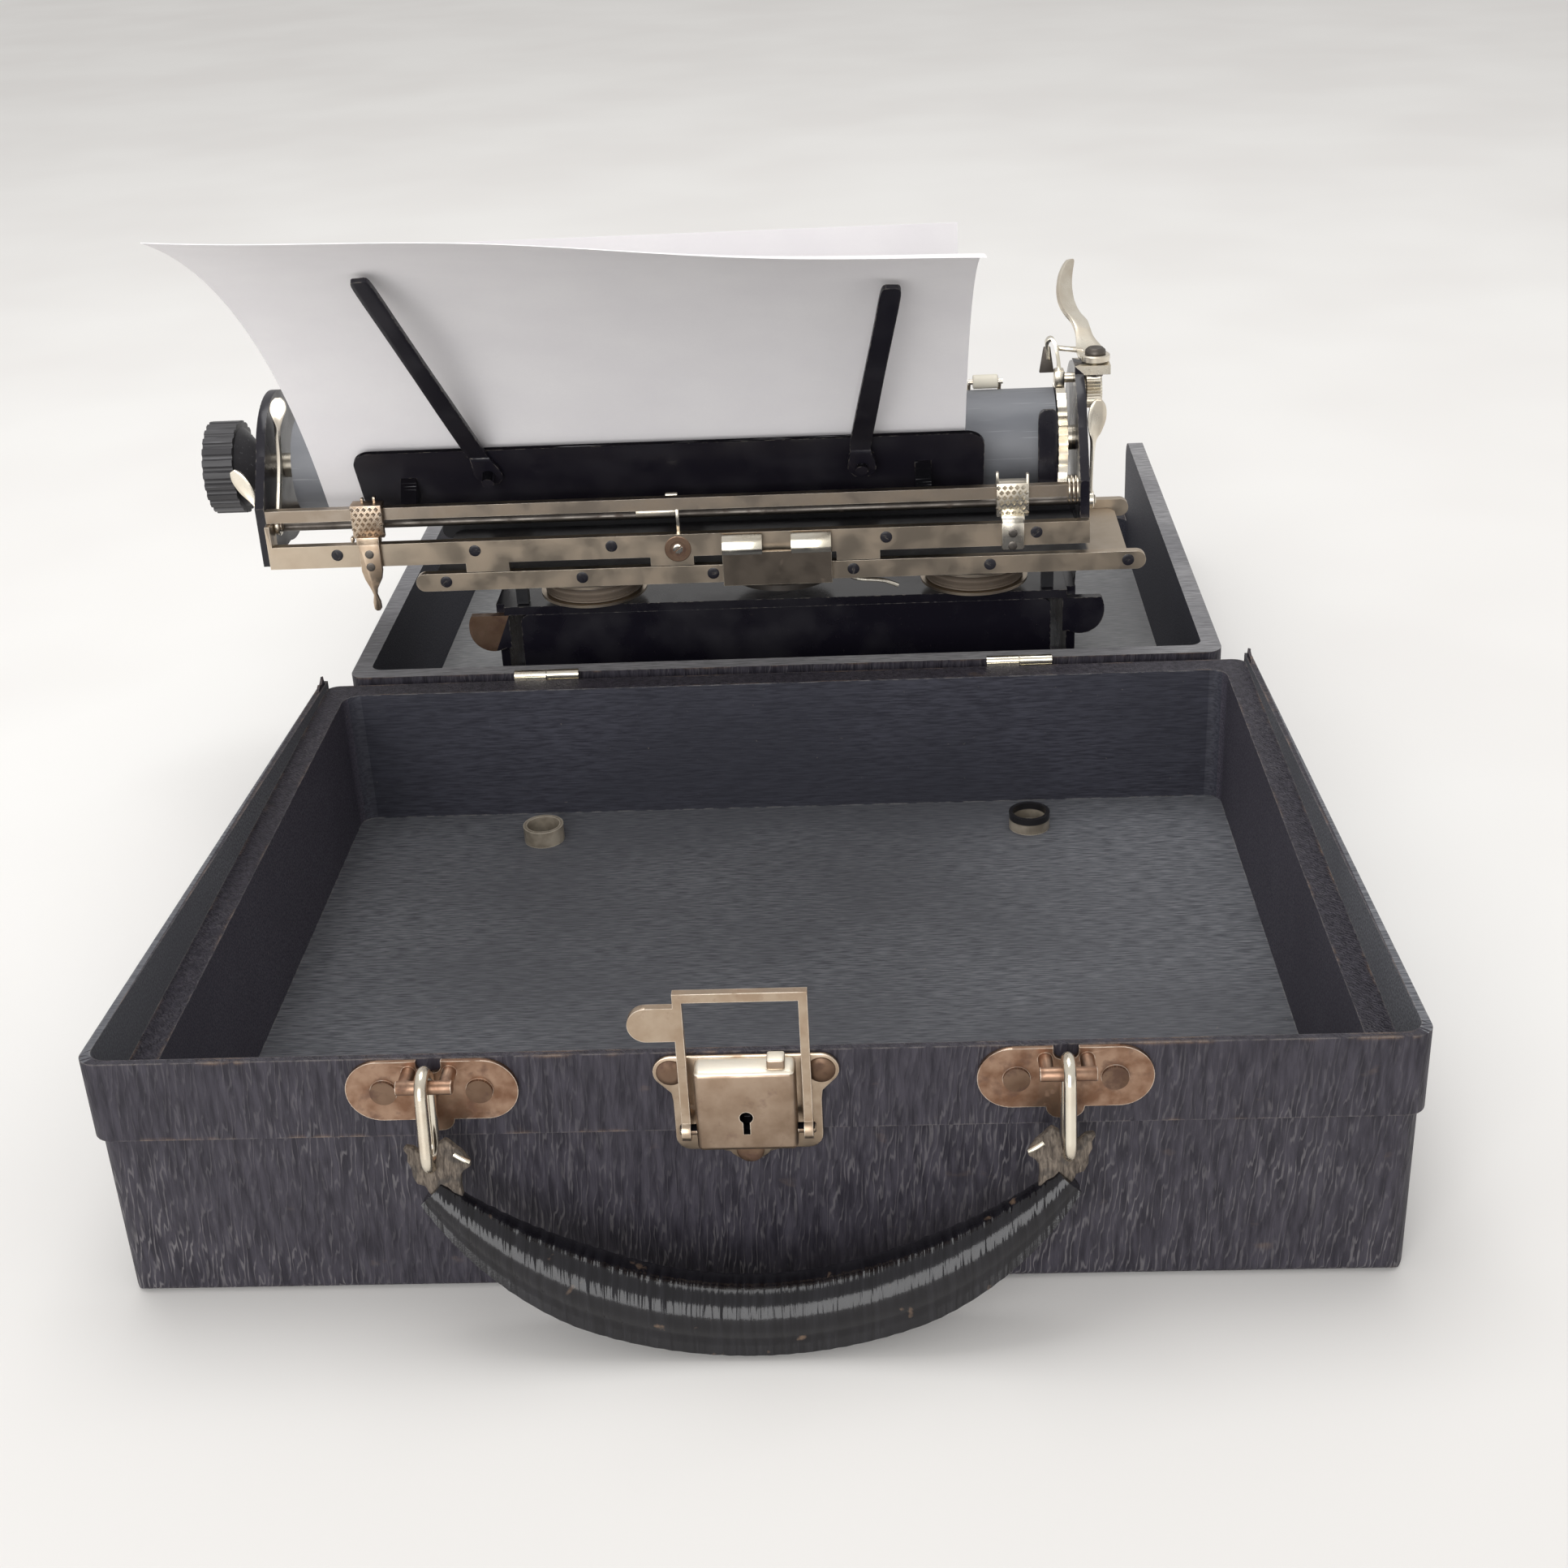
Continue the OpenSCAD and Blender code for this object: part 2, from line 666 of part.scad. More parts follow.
module type_basket() {
    color(nickel) {
        difference() {
            union() {
                block([-segment_out + 1.5, basket_y - 1, segment_z - 3],
                      [segment_out - 1.5, shelf_front - seat, segment_z + 0.4]);
                translate([0, basket_y, segment_z - 3]) rotate([0, 0, 180])
                    rotate_extrude(angle = 180) translate([segment_in, 0])
                        square([segment_out - segment_in, segment_h + 3]);
                block([-segment_out + 1.5, shelf_front - 3, segment_z - 3],
                      [segment_out - 1.5, shelf_front - seat, shelf_z]);
            }
            for (i = [0 : bar_count - 1]) translate([0, basket_y, segment_z + 2])
                rotate([0, 0, fan_angle(i)]) block([segment_in - 1, -slot_w / 2, 0],
                                                   [segment_out + 1, slot_w / 2, segment_h]);
        }
        for (i = [0 : bar_count - 1]) translate([0, basket_y, segment_z + segment_h])
            rotate([0, 0, fan_angle(i)]) translate([segment_in + 1, 0, 0]) rotate([0, typebar_fall, 0])
                typebar();
    }
}

module typebar() {
    block([0, -typebar_t / 2, -4.2], [8, typebar_t / 2, -0.4]);
    block([7, -typebar_t / 2, -3.4], [typebar_len, typebar_t / 2, -0.8]);
    block([typebar_len - 3, -1.3, -4.6], [typebar_len + 1.6, 1.3, 2.4]);
}

// Key levers

function lever_x(k) = -key_span / 2 + k * lever_pitch;
function bank_of(k) = k % banks;
function key_y(k) = bank_y + (banks - 1 - bank_of(k)) * bank_pitch;
function key_top(k) = bank_z + (banks - 1 - bank_of(k)) * bank_rise;

module lever_comb() {
    comb_t = 3;
    slot = lever_t + 0.8;
    slot_top = fulcrum_z + lever_h + 0.5;
    xs = concat([for (k = [0 : len(KEYS) - 1]) lever_x(k)],
                [-shift_x, -space_arm_x, space_arm_x, shift_x]);
    color("#4a4744") {
        bar_x(-plate_in + seat, plate_in - seat, fulcrum_y, fulcrum_z, fulcrum_d);
        difference() {
            block([-plate_in + seat, comb_y, machine_z],
                  [plate_in - seat, comb_y + comb_t, slot_top + 7]);
            for (x = xs) block([x - slot / 2, comb_y - 1, machine_z - 1],
                               [x + slot / 2, comb_y + comb_t + 1, slot_top]);
        }
    }
}

// Outline of a lever with its eye on the pivot rod, reaching to y
module lever_outline(y) {
    difference() {
        union() {
            translate([y - 1.5, fulcrum_z - lever_h / 2]) square([fulcrum_y - y + 1.5, lever_h]);
            translate([fulcrum_y, fulcrum_z]) circle(d = fulcrum_d + 3.2);
        }
        translate([fulcrum_y, fulcrum_z]) circle(d = fulcrum_d + 2 * run);
    }
}

// A key's stem, from its lever up to the underside of its top
module key_stem(x, y, top) {
    block([x - lever_t / 2, y - 1.5, fulcrum_z + lever_h / 2 + seat], [x + lever_t / 2, y + 1.5, top - seat]);
}

// A round key top with a dished face
module key_cap(d) {
    rotate_extrude() difference() {
        square([d / 2, key_t]);
        translate([0, key_t + 10 - 0.8]) circle(10);
    }
}

module key(k) {
    under = key_top(k) - key_t;
    color("#e8e2d0") translate([lever_x(k), key_y(k), under]) key_cap(key_d);
    color(nickel) {
        side_profile(lever_x(k) - lever_t / 2, lever_t) lever_outline(key_y(k));
        key_stem(lever_x(k), key_y(k), under);
    }
}

module shift_keys() {
    link_y = fulcrum_y - 8.5;
    link_z = fulcrum_z - 5.8;
    for (s = [-1, 1]) {
        color("#e8e2d0") translate([s * shift_x, bank_y, bank_z - key_t]) key_cap(shift_d);
        color(nickel) {
            key_stem(s * shift_x, bank_y, bank_z - key_t);
            side_profile(s * shift_x - lever_t / 2, lever_t) difference() {
                union() {
                    lever_outline(bank_y);
                    strip([link_y, link_z], [link_y, fulcrum_z - 1], 4);
                }
                translate([link_y, link_z]) circle(d = 2 + 2 * seat);
            }
        }
    }
    color(nickel) bar_x(-shift_x - 1.4, shift_x + 1.4, link_y, link_z, 2);
}

module space_bar() {
    pad_y = front_y + 4;
    pad_z = bank_z - 10;
    pad_d = 7;
    pad_h = 5;
    link_y = pad_y + 2;
    link_low = fulcrum_z - lever_h / 2;
    color("#1d1d20") back_profile(pad_y, pad_d) translate([0, pad_z + pad_h / 2])
        rounded_rect(space_w, pad_h, 2.2);
    color(nickel) {
        for (s = [-1, 1]) side_profile(s * space_arm_x - lever_t / 2, lever_t)
            lever_outline(link_y + 1.5);
        block([-space_arm_x + lever_t / 2 + seat, link_y, link_low],
              [space_arm_x - lever_t / 2 - seat, link_y + 3, link_low + 3.5]);
        for (s = [-1, 1]) block([s * space_w / 2.6 - 3, link_y, link_low + 3.5 + seat],
                                [s * space_w / 2.6 + 3, link_y + 3, pad_z - seat]);
    }
}

module ribbon_spool(s) {
    wall = 0.9;
    low = shelf_z + 3.6;
    color(nickel) translate([s * spool_x, spool_y, low]) rotate_extrude() {
        difference() {
            translate([spindle_d / 2 + run, 0]) square([spool_d / 2 - spindle_d / 2 - run, spool_h]);
            translate([spool_d / 2 - 3, wall]) square([4, spool_h - 2 * wall]);
        }
        translate([spindle_d / 2 + run, 0]) square([2, spool_h + 1]);
    }
}

// Folding carriage bed

module carriage_rails() {
    post_x = panel_half - 1;
    bracket_w = 35;
    plate_y = rear_rail_y + rail_t + 2.2;
    top_z = bar_top - 0.8;
    color(nickel) {
        for (y = [rear_rail_y, front_rail_y]) back_profile(y, rail_t)
            strip([-rail_half + rail_h / 2, rail_z + rail_h / 2],
                  [rail_half - rail_h / 2, rail_z + rail_h / 2], rail_h);
        translate([0, (rear_rail_y + front_rail_y + rail_t) / 2, bed_z]) linear_extrude(bed_t)
            rounded_rect(2 * rail_half - 10, rear_rail_y - front_rail_y - rail_t - 2 * seat, 4);
        for (s = [-1, 1]) block([s * post_x - 2, rear_y - 6, shelf_z + slide_gap],
                                [s * post_x + 2, rear_y - 2, bed_z - seat]);
        translate([0, drum_y, shelf_z + 5]) cylinder(h = bed_z - shelf_z - 5 - seat, d = 6);
        difference() {
            side_profile(-bracket_w / 2, bracket_w) polygon([
                [rear_rail_y + rail_t + seat, rail_z], [plate_y + 1.3, rail_z],
                [plate_y + 1.3, bar_top - 4.4], [plate_y + 0.7, bar_top - 2], [plate_y - 0.8, top_z + 0.5],
                [plate_y - 1.6, top_z - 0.3], [plate_y - 0.6, bar_top - 3], [plate_y, bar_top - 4.8],
                [plate_y, rail_top], [rear_rail_y + rail_t + seat, rail_top]]);
            block([-4.6, rear_rail_y, bar_top - 5.5], [4.6, plate_y + 2, top_z + 2]);
        }
    }
}

module fold_arms() {
    color(japan_black) both_sides() side_profile(arm_x, arm_t) difference() {
        union() {
            translate([pivot_y, pivot_z]) circle(9);
            polygon([[pivot_y - 5, pivot_z + 7.5], [pivot_y + 7, pivot_z - 5.7],
                     [rear_y - 5, bed_z - 4], [rear_y - 5, bed_z - seat],
                     [front_rail_y + rail_t + seat, bed_z - seat],
                     [front_rail_y + rail_t + seat, rail_z - seat], [front_rail_y - 2, rail_z - seat]]);
        }
        translate([pivot_y, pivot_z]) circle(d = pivot_d + 2 * run);
        translate([pivot_y + 36, pivot_z + 27]) circle(6);
    }
}

module mainspring_drum() {
    low = shelf_z + 5.5;
    color("#3b3a3c") translate([0, drum_y, low]) rotate_extrude() difference() {
        translate([3 + run, 0]) square([drum_d / 2 - 3 - run, 10]);
        translate([drum_d / 2 - 1.2, 2]) square([3, 6]);
    }
}

// Carriage

module end_outline() {
    difference() {
        union() {
            translate([platen_y, platen_z]) circle(end_r);
            polygon([[front_rail_y, bar_z], [margin_y + margin_t, bar_z],
                     [margin_y + margin_t, margin_z + margin_h + 1], [platen_y + 17, platen_z + 18],
                     [platen_y - 17, platen_z - 18]]);
        }
        translate([platen_y, platen_z]) circle(d = shaft_d + 2 * run);
        translate([release_y, release_z]) circle(d = release_d + 2 * run);
    }
}

module carriage_bars(grow) {
    shoe = 14;
    block([ear_x - ear_t - grow, pull_y + 1.8 - grow, bar_z + 1 - grow],
          [ear_x + grow, rear_rail_y + rail_t + grow, margin_z - 0.2 + grow]);
    for (y = [rear_rail_y, front_rail_y]) {
        high = y == rear_rail_y ? bar_h : bar_h - 2.5;
        bar_end = y == rear_rail_y ? ear_x : end_out_high;
        block([end_out_low - grow, y - grow, bar_z - grow],
              [bar_end + grow, y + rail_t + grow, bar_z + high + grow]);
        for (x = [-60, 0, 60]) block([carriage_off + x - shoe / 2, y, rail_top + slide_gap],
                                     [carriage_off + x + shoe / 2, y + rail_t, bar_z + 1]);
    }
}

lever_pivot_x = end_out_low - 4;
lever_pivot_y = platen_y + 3.5;
lug_top = platen_z + end_r + 1.2;

module carriage_frame() {
    color(nickel) {
        carriage_bars(0);
        block([end_in_low + seat, margin_y, margin_z],
              [end_in_high - seat, margin_y + margin_t, margin_z + margin_h]);
    }
    color(japan_black) difference() {
        union() {
            side_profile(end_in_high, plate3) end_outline();
            side_profile(end_out_low, plate3) end_outline();
            block([lever_pivot_x - 4.5, lever_pivot_y - 5, lug_top - 3],
                  [end_in_low, lever_pivot_y + 5, lug_top]);
            translate([lever_pivot_x, lever_pivot_y, lug_top - 1]) cylinder(h = 5.6, d = 3.6);
            bar_x(end_in_high - 3.6, end_in_high + 0.5, pull_y, pull_z, 3);
            bar_x(end_out_low - 6, end_out_low + 0.5, platen_y + 1, platen_z + 16.5, 11);
        }
        carriage_bars(seat);
    }
}

module in_table() {
    translate([carriage_off, table_y0, table_z0]) rotate([table_slope, 0, 0]) children();
}

module paper_table() {
    r_corner = 6;
    color(japan_black) {
        side_profile(carriage_off - table_w / 2 + r_corner, table_w - 2 * r_corner)
            translate([platen_y, platen_z]) intersection() {
                difference() {
                    circle(trough_r + table_t);
                    circle(trough_r);
                }
                polygon([[0, 0], 60 * [cos(trough_end), sin(trough_end)], [60, -60], [0, -60]]);
            }
        in_table() translate([0, 0, -table_t]) {
            linear_extrude(table_t) intersection() {
                translate([0, table_rise / 2 - 10]) rounded_rect(table_w, table_rise + 20, r_corner);
                translate([-table_w, -0.5]) square([2 * table_w, table_rise + 1]);
            }
            for (x = [arm_left_x, arm_right_x]) translate([x - carriage_off, arm_pivot_up, -arm_stack - 3])
                cylinder(h = arm_stack + 3.2, d = arm_pivot_d);
            translate([arm_left_x - carriage_off, arm_pivot_up, -arm_stack]) cylinder(h = arm_stack, d = 9);
        }
        for (x = [carriage_off - 84, carriage_off + 82]) side_profile(x, 5) polygon([
            [table_y0 + 4.5, table_z0 + 5], [table_y0 + 8.5, table_z0 + 12.5],
            [margin_y - seat, margin_z + margin_h], [margin_y - seat, margin_z]]);
    }
}

// A paper arm swinging behind the table: its eye lies on the rivet, its strip leans back
module paper_arm(x, stack, spread, bend) {
    color(japan_black) in_table()
        translate([x - carriage_off, arm_pivot_up, -table_t - stack - 0.15]) difference() {
            union() {
                translate([0, 0, -arm_t2]) cylinder(h = arm_t2, d = arm_w + 2);
                rotate([0, 0, spread]) rotate([-bend, 0, 0]) translate([0, 0, -arm_t2])
                    linear_extrude(arm_t2) intersection() {
                        strip([0, 0], [0, arm_len - arm_w / 2], arm_w);
                        translate([-arm_w, 0]) square([2 * arm_w, arm_len]);
                    }
            }
            cylinder(h = 30, d = arm_pivot_d + 2 * run, center = true);
        }
}

// The sheet's middle line, by the distance along it from its front edge
function sheet_point(d) =
    let (wrap = sheet_r * (90 + sheet_leave) * PI / 180,
         back = sheet_len - sheet_front - wrap,
         bow = back * 180 / PI / (sheet_leave - sheet_end),
         start = [platen_y + sheet_r * sin(sheet_leave), platen_z - sheet_r * cos(sheet_leave)])
    d < sheet_front ? [platen_y - sheet_r, platen_z + sheet_front - d, -90] :
    d < sheet_front + wrap ?
        let (a = (d - sheet_front) / sheet_r * 180 / PI)
        [platen_y - sheet_r * cos(a), platen_z - sheet_r * sin(a), a - 90] :
    let (h = sheet_leave - (d - sheet_front - wrap) / bow * 180 / PI)
    [start.x + bow * (sin(sheet_leave) - sin(h)), start.y + bow * (cos(h) - cos(sheet_leave)), h];

module paper_sheet() {
    fine = 3;
    wrap_end = sheet_front + sheet_r * (90 + sheet_leave) * PI / 180;
    stops = concat([0], [for (d = [sheet_front : fine : wrap_end]) d],
                   [for (d = [wrap_end : 4 * fine : sheet_len - fine]) d], [sheet_len]);
    line = [for (d = stops) sheet_point(d)];
    edge = [for (p = line) [p.x, p.y] + sheet_t / 2 * [-sin(p.z), cos(p.z)]];
    other = [for (i = [len(line) - 1 : -1 : 0]) let (p = line[i]) [p.x, p.y] - sheet_t / 2 * [-sin(p.z), cos(p.z)]];
    color("#dcd9e4") side_profile(sheet_x - sheet_w / 2, sheet_w) polygon(concat(edge, other));
}

module platen() {
    roll_low = carriage_off - platen_len / 2;
    roll_high = carriage_off + platen_len / 2;
    teeth = 36;
    ratchet_r = platen_d / 2 + 1.5;
    flutes = 24;
    knob_x = end_out_high + 11;
    shaft_low = end_out_low - 2;
    shaft_high = knob_x + 2;
    color(nickel) {
        bar_x(shaft_low, shaft_high, platen_y, platen_z, shaft_d);
        side_profile(roll_low - 3.5, 3) translate([platen_y, platen_z]) difference() {
            polygon([for (i = [0 : 2 * teeth - 1])
                     (ratchet_r - (i % 2) * 1.6) * [cos(i * 180 / teeth), sin(i * 180 / teeth)]]);
            circle(d = shaft_d + 2 * seat);
        }
    }
    difference() {
        union() {
            color("#3f444b") bar_x(roll_low, roll_high, platen_y, platen_z, platen_d);
            color(japan_black) {
                bar_x(end_out_high + 0.4, end_out_high + 4.5, platen_y, platen_z, 12);
                translate([end_out_high + 4.4, platen_y, platen_z]) rotate([0, 90, 0])
                    cylinder(h = knob_x - end_out_high - 4.3, d1 = 12, d2 = knob_d - 4);
                difference() {
                    bar_x(knob_x, knob_x + knob_w, platen_y, platen_z, knob_d);
                    for (i = [0 : flutes - 1]) translate([0, platen_y, platen_z])
                        rotate([i * 360 / flutes, 0, 0])
                            bar_x(knob_x - 1, knob_x + knob_w + 1, 0, knob_d / 2 + 0.3, 2.2);
                }
            }
        }
        bar_x(shaft_low - 1, shaft_high + seat, platen_y, platen_z, shaft_d + 2 * seat);
    }
}

// A margin stop: hook over the margin bar, finger pad, and a tail behind the rear bar
module margin_stop(x, tail_z, prongs) {
    pad = 10.4;
    pad_y = margin_y + margin_t + slide_gap;
    tail_y = rear_rail_y + rail_t + slide_gap;
    top = margin_z + margin_h + slide_gap;
    color(nickel) translate([x - pad / 2, 0, 0]) {
        block([0, margin_y, top], [pad, pad_y + 2.2, top + 1.6]);
        block([0, pad_y, bar_top + slide_gap], [pad, pad_y + 2.2, top + 1]);
        block([1.2, pad_y, bar_top + slide_gap], [pad - 1.2, tail_y + 1.7, bar_top + 3]);
        block([1.2, tail_y, bar_z + 0.5], [pad - 1.2, tail_y + 1.7, bar_top + 1]);
        block([pad / 2 - 1.6, tail_y, tail_z], [pad / 2 + 1.6, tail_y + 1.7, bar_z + 1]);
        if (prongs) for (p = [0, pad - 1.4]) block([p, pad_y, top], [p + 1.4, pad_y + 2.2, top + 4.6]);
    }
}

module return_lever() {
    hub_z = lug_top + slide_gap;
    foot = [lever_pivot_y, hub_z + 1.2];
    bend = [lever_pivot_y - 20, hub_z + 4.5];
    rise = [lever_pivot_y - 28, hub_z + 13];
    tip = [lever_pivot_y - 38, hub_z + 23];
    color(nickel) {
        difference() {
            union() {
                translate([lever_pivot_x, lever_pivot_y, hub_z]) cylinder(h = 2.4, d = 9.4);
                side_profile(lever_pivot_x - 4, 8) {
                    strip(foot, bend, 1.6);
                    strip(bend, rise, 1.6);
                    strip(rise, tip, 1.6);
                }
            }
            translate([lever_pivot_x, lever_pivot_y, hub_z - 5]) cylinder(h = 20, d = 3.6 + 2 * run);
        }
    }
}

module paper_release() {
    root = [pull_y, pull_z];
    tip = [platen_y + 10.5, platen_z + 22];
    color(nickel) side_profile(end_in_high - 3.2, 1.5) difference() {
        union() {
            strip(root, tip, 3);
            translate(root) circle(3.2);
            translate(tip) circle(4);
        }
        translate(root) circle(d = 3 + 2 * run);
    }
}

module carriage_release() {
    root = [release_y, release_z];
    color(nickel) {
        bar_x(end_out_low - 3, end_out_high + 3, release_y, release_z, release_d);
        for (x = [end_out_low - 2, end_out_high + 0.5]) side_profile(x, 1.5) difference() {
            union() {
                strip(root, root + [2, 18], 3.4);
                translate(root + [2, 19]) circle(4.4);
                translate(root) circle(3.4);
            }
            translate(root) circle(d = release_d + 2 * seat);
        }
    }
}

case_base();
base_hinge_leaves();
machine_frame();
machine_feet();
type_basket();
lever_comb();
ribbon_spool(-1);  // ribbon_spool_left
ribbon_spool(1);  // ribbon_spool_right
space_bar();
shift_keys();
for (k = [0 : len(KEYS) - 1]) key(k);
case_lid();
lid_hinge_leaves();
lid_cups();
lock_plate();
lock_hasp();
handle_plates();
handle_rings();
handle_grip();
carriage_rails();
fold_arms();
mainspring_drum();
carriage_frame();
paper_table();
paper_sheet();
platen();
margin_stop(stop_left_x, bar_z - 0.5, true);  // margin_stop_left
margin_stop(stop_right_x, rail_z - 5, false);  // margin_stop_right
paper_arm(arm_left_x, arm_stack, 6, arm_bend);  // paper_arm_left
paper_arm(arm_right_x, 0, -8.7, arm_bend - 1.5);  // paper_arm_right
return_lever();
paper_release();
carriage_release();
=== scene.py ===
"""Looks of a folding portable typewriter in its opened case."""
from math import asin, atan2, cos, degrees, exp, hypot, pi, radians, sin

import bpy
from mathutils import Matrix, Vector


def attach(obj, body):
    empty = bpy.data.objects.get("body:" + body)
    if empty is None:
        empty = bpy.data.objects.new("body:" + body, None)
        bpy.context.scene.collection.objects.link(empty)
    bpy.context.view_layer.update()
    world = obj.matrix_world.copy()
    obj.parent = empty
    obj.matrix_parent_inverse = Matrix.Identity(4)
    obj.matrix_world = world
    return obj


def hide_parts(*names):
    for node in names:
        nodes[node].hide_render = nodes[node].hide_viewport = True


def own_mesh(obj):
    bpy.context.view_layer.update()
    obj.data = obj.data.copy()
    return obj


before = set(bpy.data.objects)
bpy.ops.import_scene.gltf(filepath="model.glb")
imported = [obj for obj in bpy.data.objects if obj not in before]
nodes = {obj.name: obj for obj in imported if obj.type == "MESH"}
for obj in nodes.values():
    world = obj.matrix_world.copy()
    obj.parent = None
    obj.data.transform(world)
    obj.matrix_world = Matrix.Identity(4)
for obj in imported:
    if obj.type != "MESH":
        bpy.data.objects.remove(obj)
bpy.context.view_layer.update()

MM = 0.001

# Places and sizes taken from the part's source, in millimetres and degrees
PLATEN = (69.5, 110.8)
PLATEN_RUBBER_X = (-91.6, 159.6)
PLATEN_SHAFT_R = 4.2
KNOB_X = 168.2
SHEET_R = 16.9
SHEET_LOW = -61.0
SHEET_SIZE = (210.0, 297.0)
SHEET_THICK = 0.22
SHEET_FRONT = 68.0
SHEET_LEAVE = 62.0
SHEET_END = 19.0
SHEET_DROOP = 12.7
SHEET_SEAM = 12
SHEET_COLUMNS = 30
SHEET_ROWS = (58, 74)
WAVE_HEIGHT = 0.9
WAVE_START = 170.0
HANDLE_PIVOT = (365.7, 63.0)
HANDLE_LEAN = 10.5
HANDLE_X = 70.5
GRIP_DROP = 55.5
GRIP_END = 24.7
GRIP_R = 7.5
GRIP_SEAM = 3.1
GRIP_SEAM_TURN = 53.0
RING_LOW = 20.2
RIVET_AWAY = 10.83
RIVET_REACH = 3.4
LID_FACE = 358.5
LID_INNER_X = 142.6
LID_INNER_Y = (123.5, 350.2)
LID_LEDGE_Z = 49.0
FLANGE_X = 148.5
FLANGE_Z = 50.5
TEAR_X = 150
BASE_INNER = (137.4, 106.9, 4.5)
BASE_RIM_Z = 50.0
LOCK_FACE = 359.7
LOCK_TOP = 65.5
LOCK_BOX = (11.2, 6.5)
LOCK_BOX_LOW = 44.5
LOCK_LOW = 40.5
LOCK_EAR_X = 16.75
KEY_HOLE_UP = 9.0
LEVER_PIVOT = (-104.0, 73.0)
RELEASE_ROD = (92.0, 97.0)
PAPER_RELEASE = (97.45, 99.4)
BAR_FACE = 106.0
BAR_SCREW_Z = 91.6
RAIL_SCREW_Z = 81.2
RAIL_WHEEL = (31.9, BAR_FACE, 89.9)
END_PLATES_X = (-96.9, 164.96)
STOP_HALF = 5.1
STOP_PAD_FACE = 105.45
STOP_TAIL = (106.3, 108.0)
LINE_NUT = (70.5, 127.3)
ROLLER = (64.5, 129.2)
SIDE_PLATE_X = 98.5
SPOOL = (64.5, 73.5)
BASKET_Y = 28.0
LINK_REACH = 32
LINK_FAN = (-170, 160)
LINK_HOOK = ((0, 22.5), (0, 29), (1, 34), (3, 35.5), (3.6, 33.5))
KEYS = "q a z w s x e d c r f v t g b y h n u j m i k comma o l period p".split()
SIGNS = {"comma": ",", "period": "."}
KEY_FIRST = (-81, -48, 50)
KEY_PITCH = 6
BANKS = 3
BANK_STEP = (-18, -7)
CAP_DEPTH = 4.02
KEYS_REAR_Y = -20
SHIFT_KEY = (89, -84, 36)
SIGN_SIZE = 7
RIM_FLATTEN = 0.8

# Directions, the share of a normal that counts as facing one, and how edges are rounded
ALONG_X, ALONG_Y, ALONG_Z = (1, 0, 0), (0, 1, 0), (0, 0, 1)
FACING = 0.7
WELD_REACH = 0.000005
SOFT_ANGLE = radians(38)
BEVEL_ANGLE = radians(50)


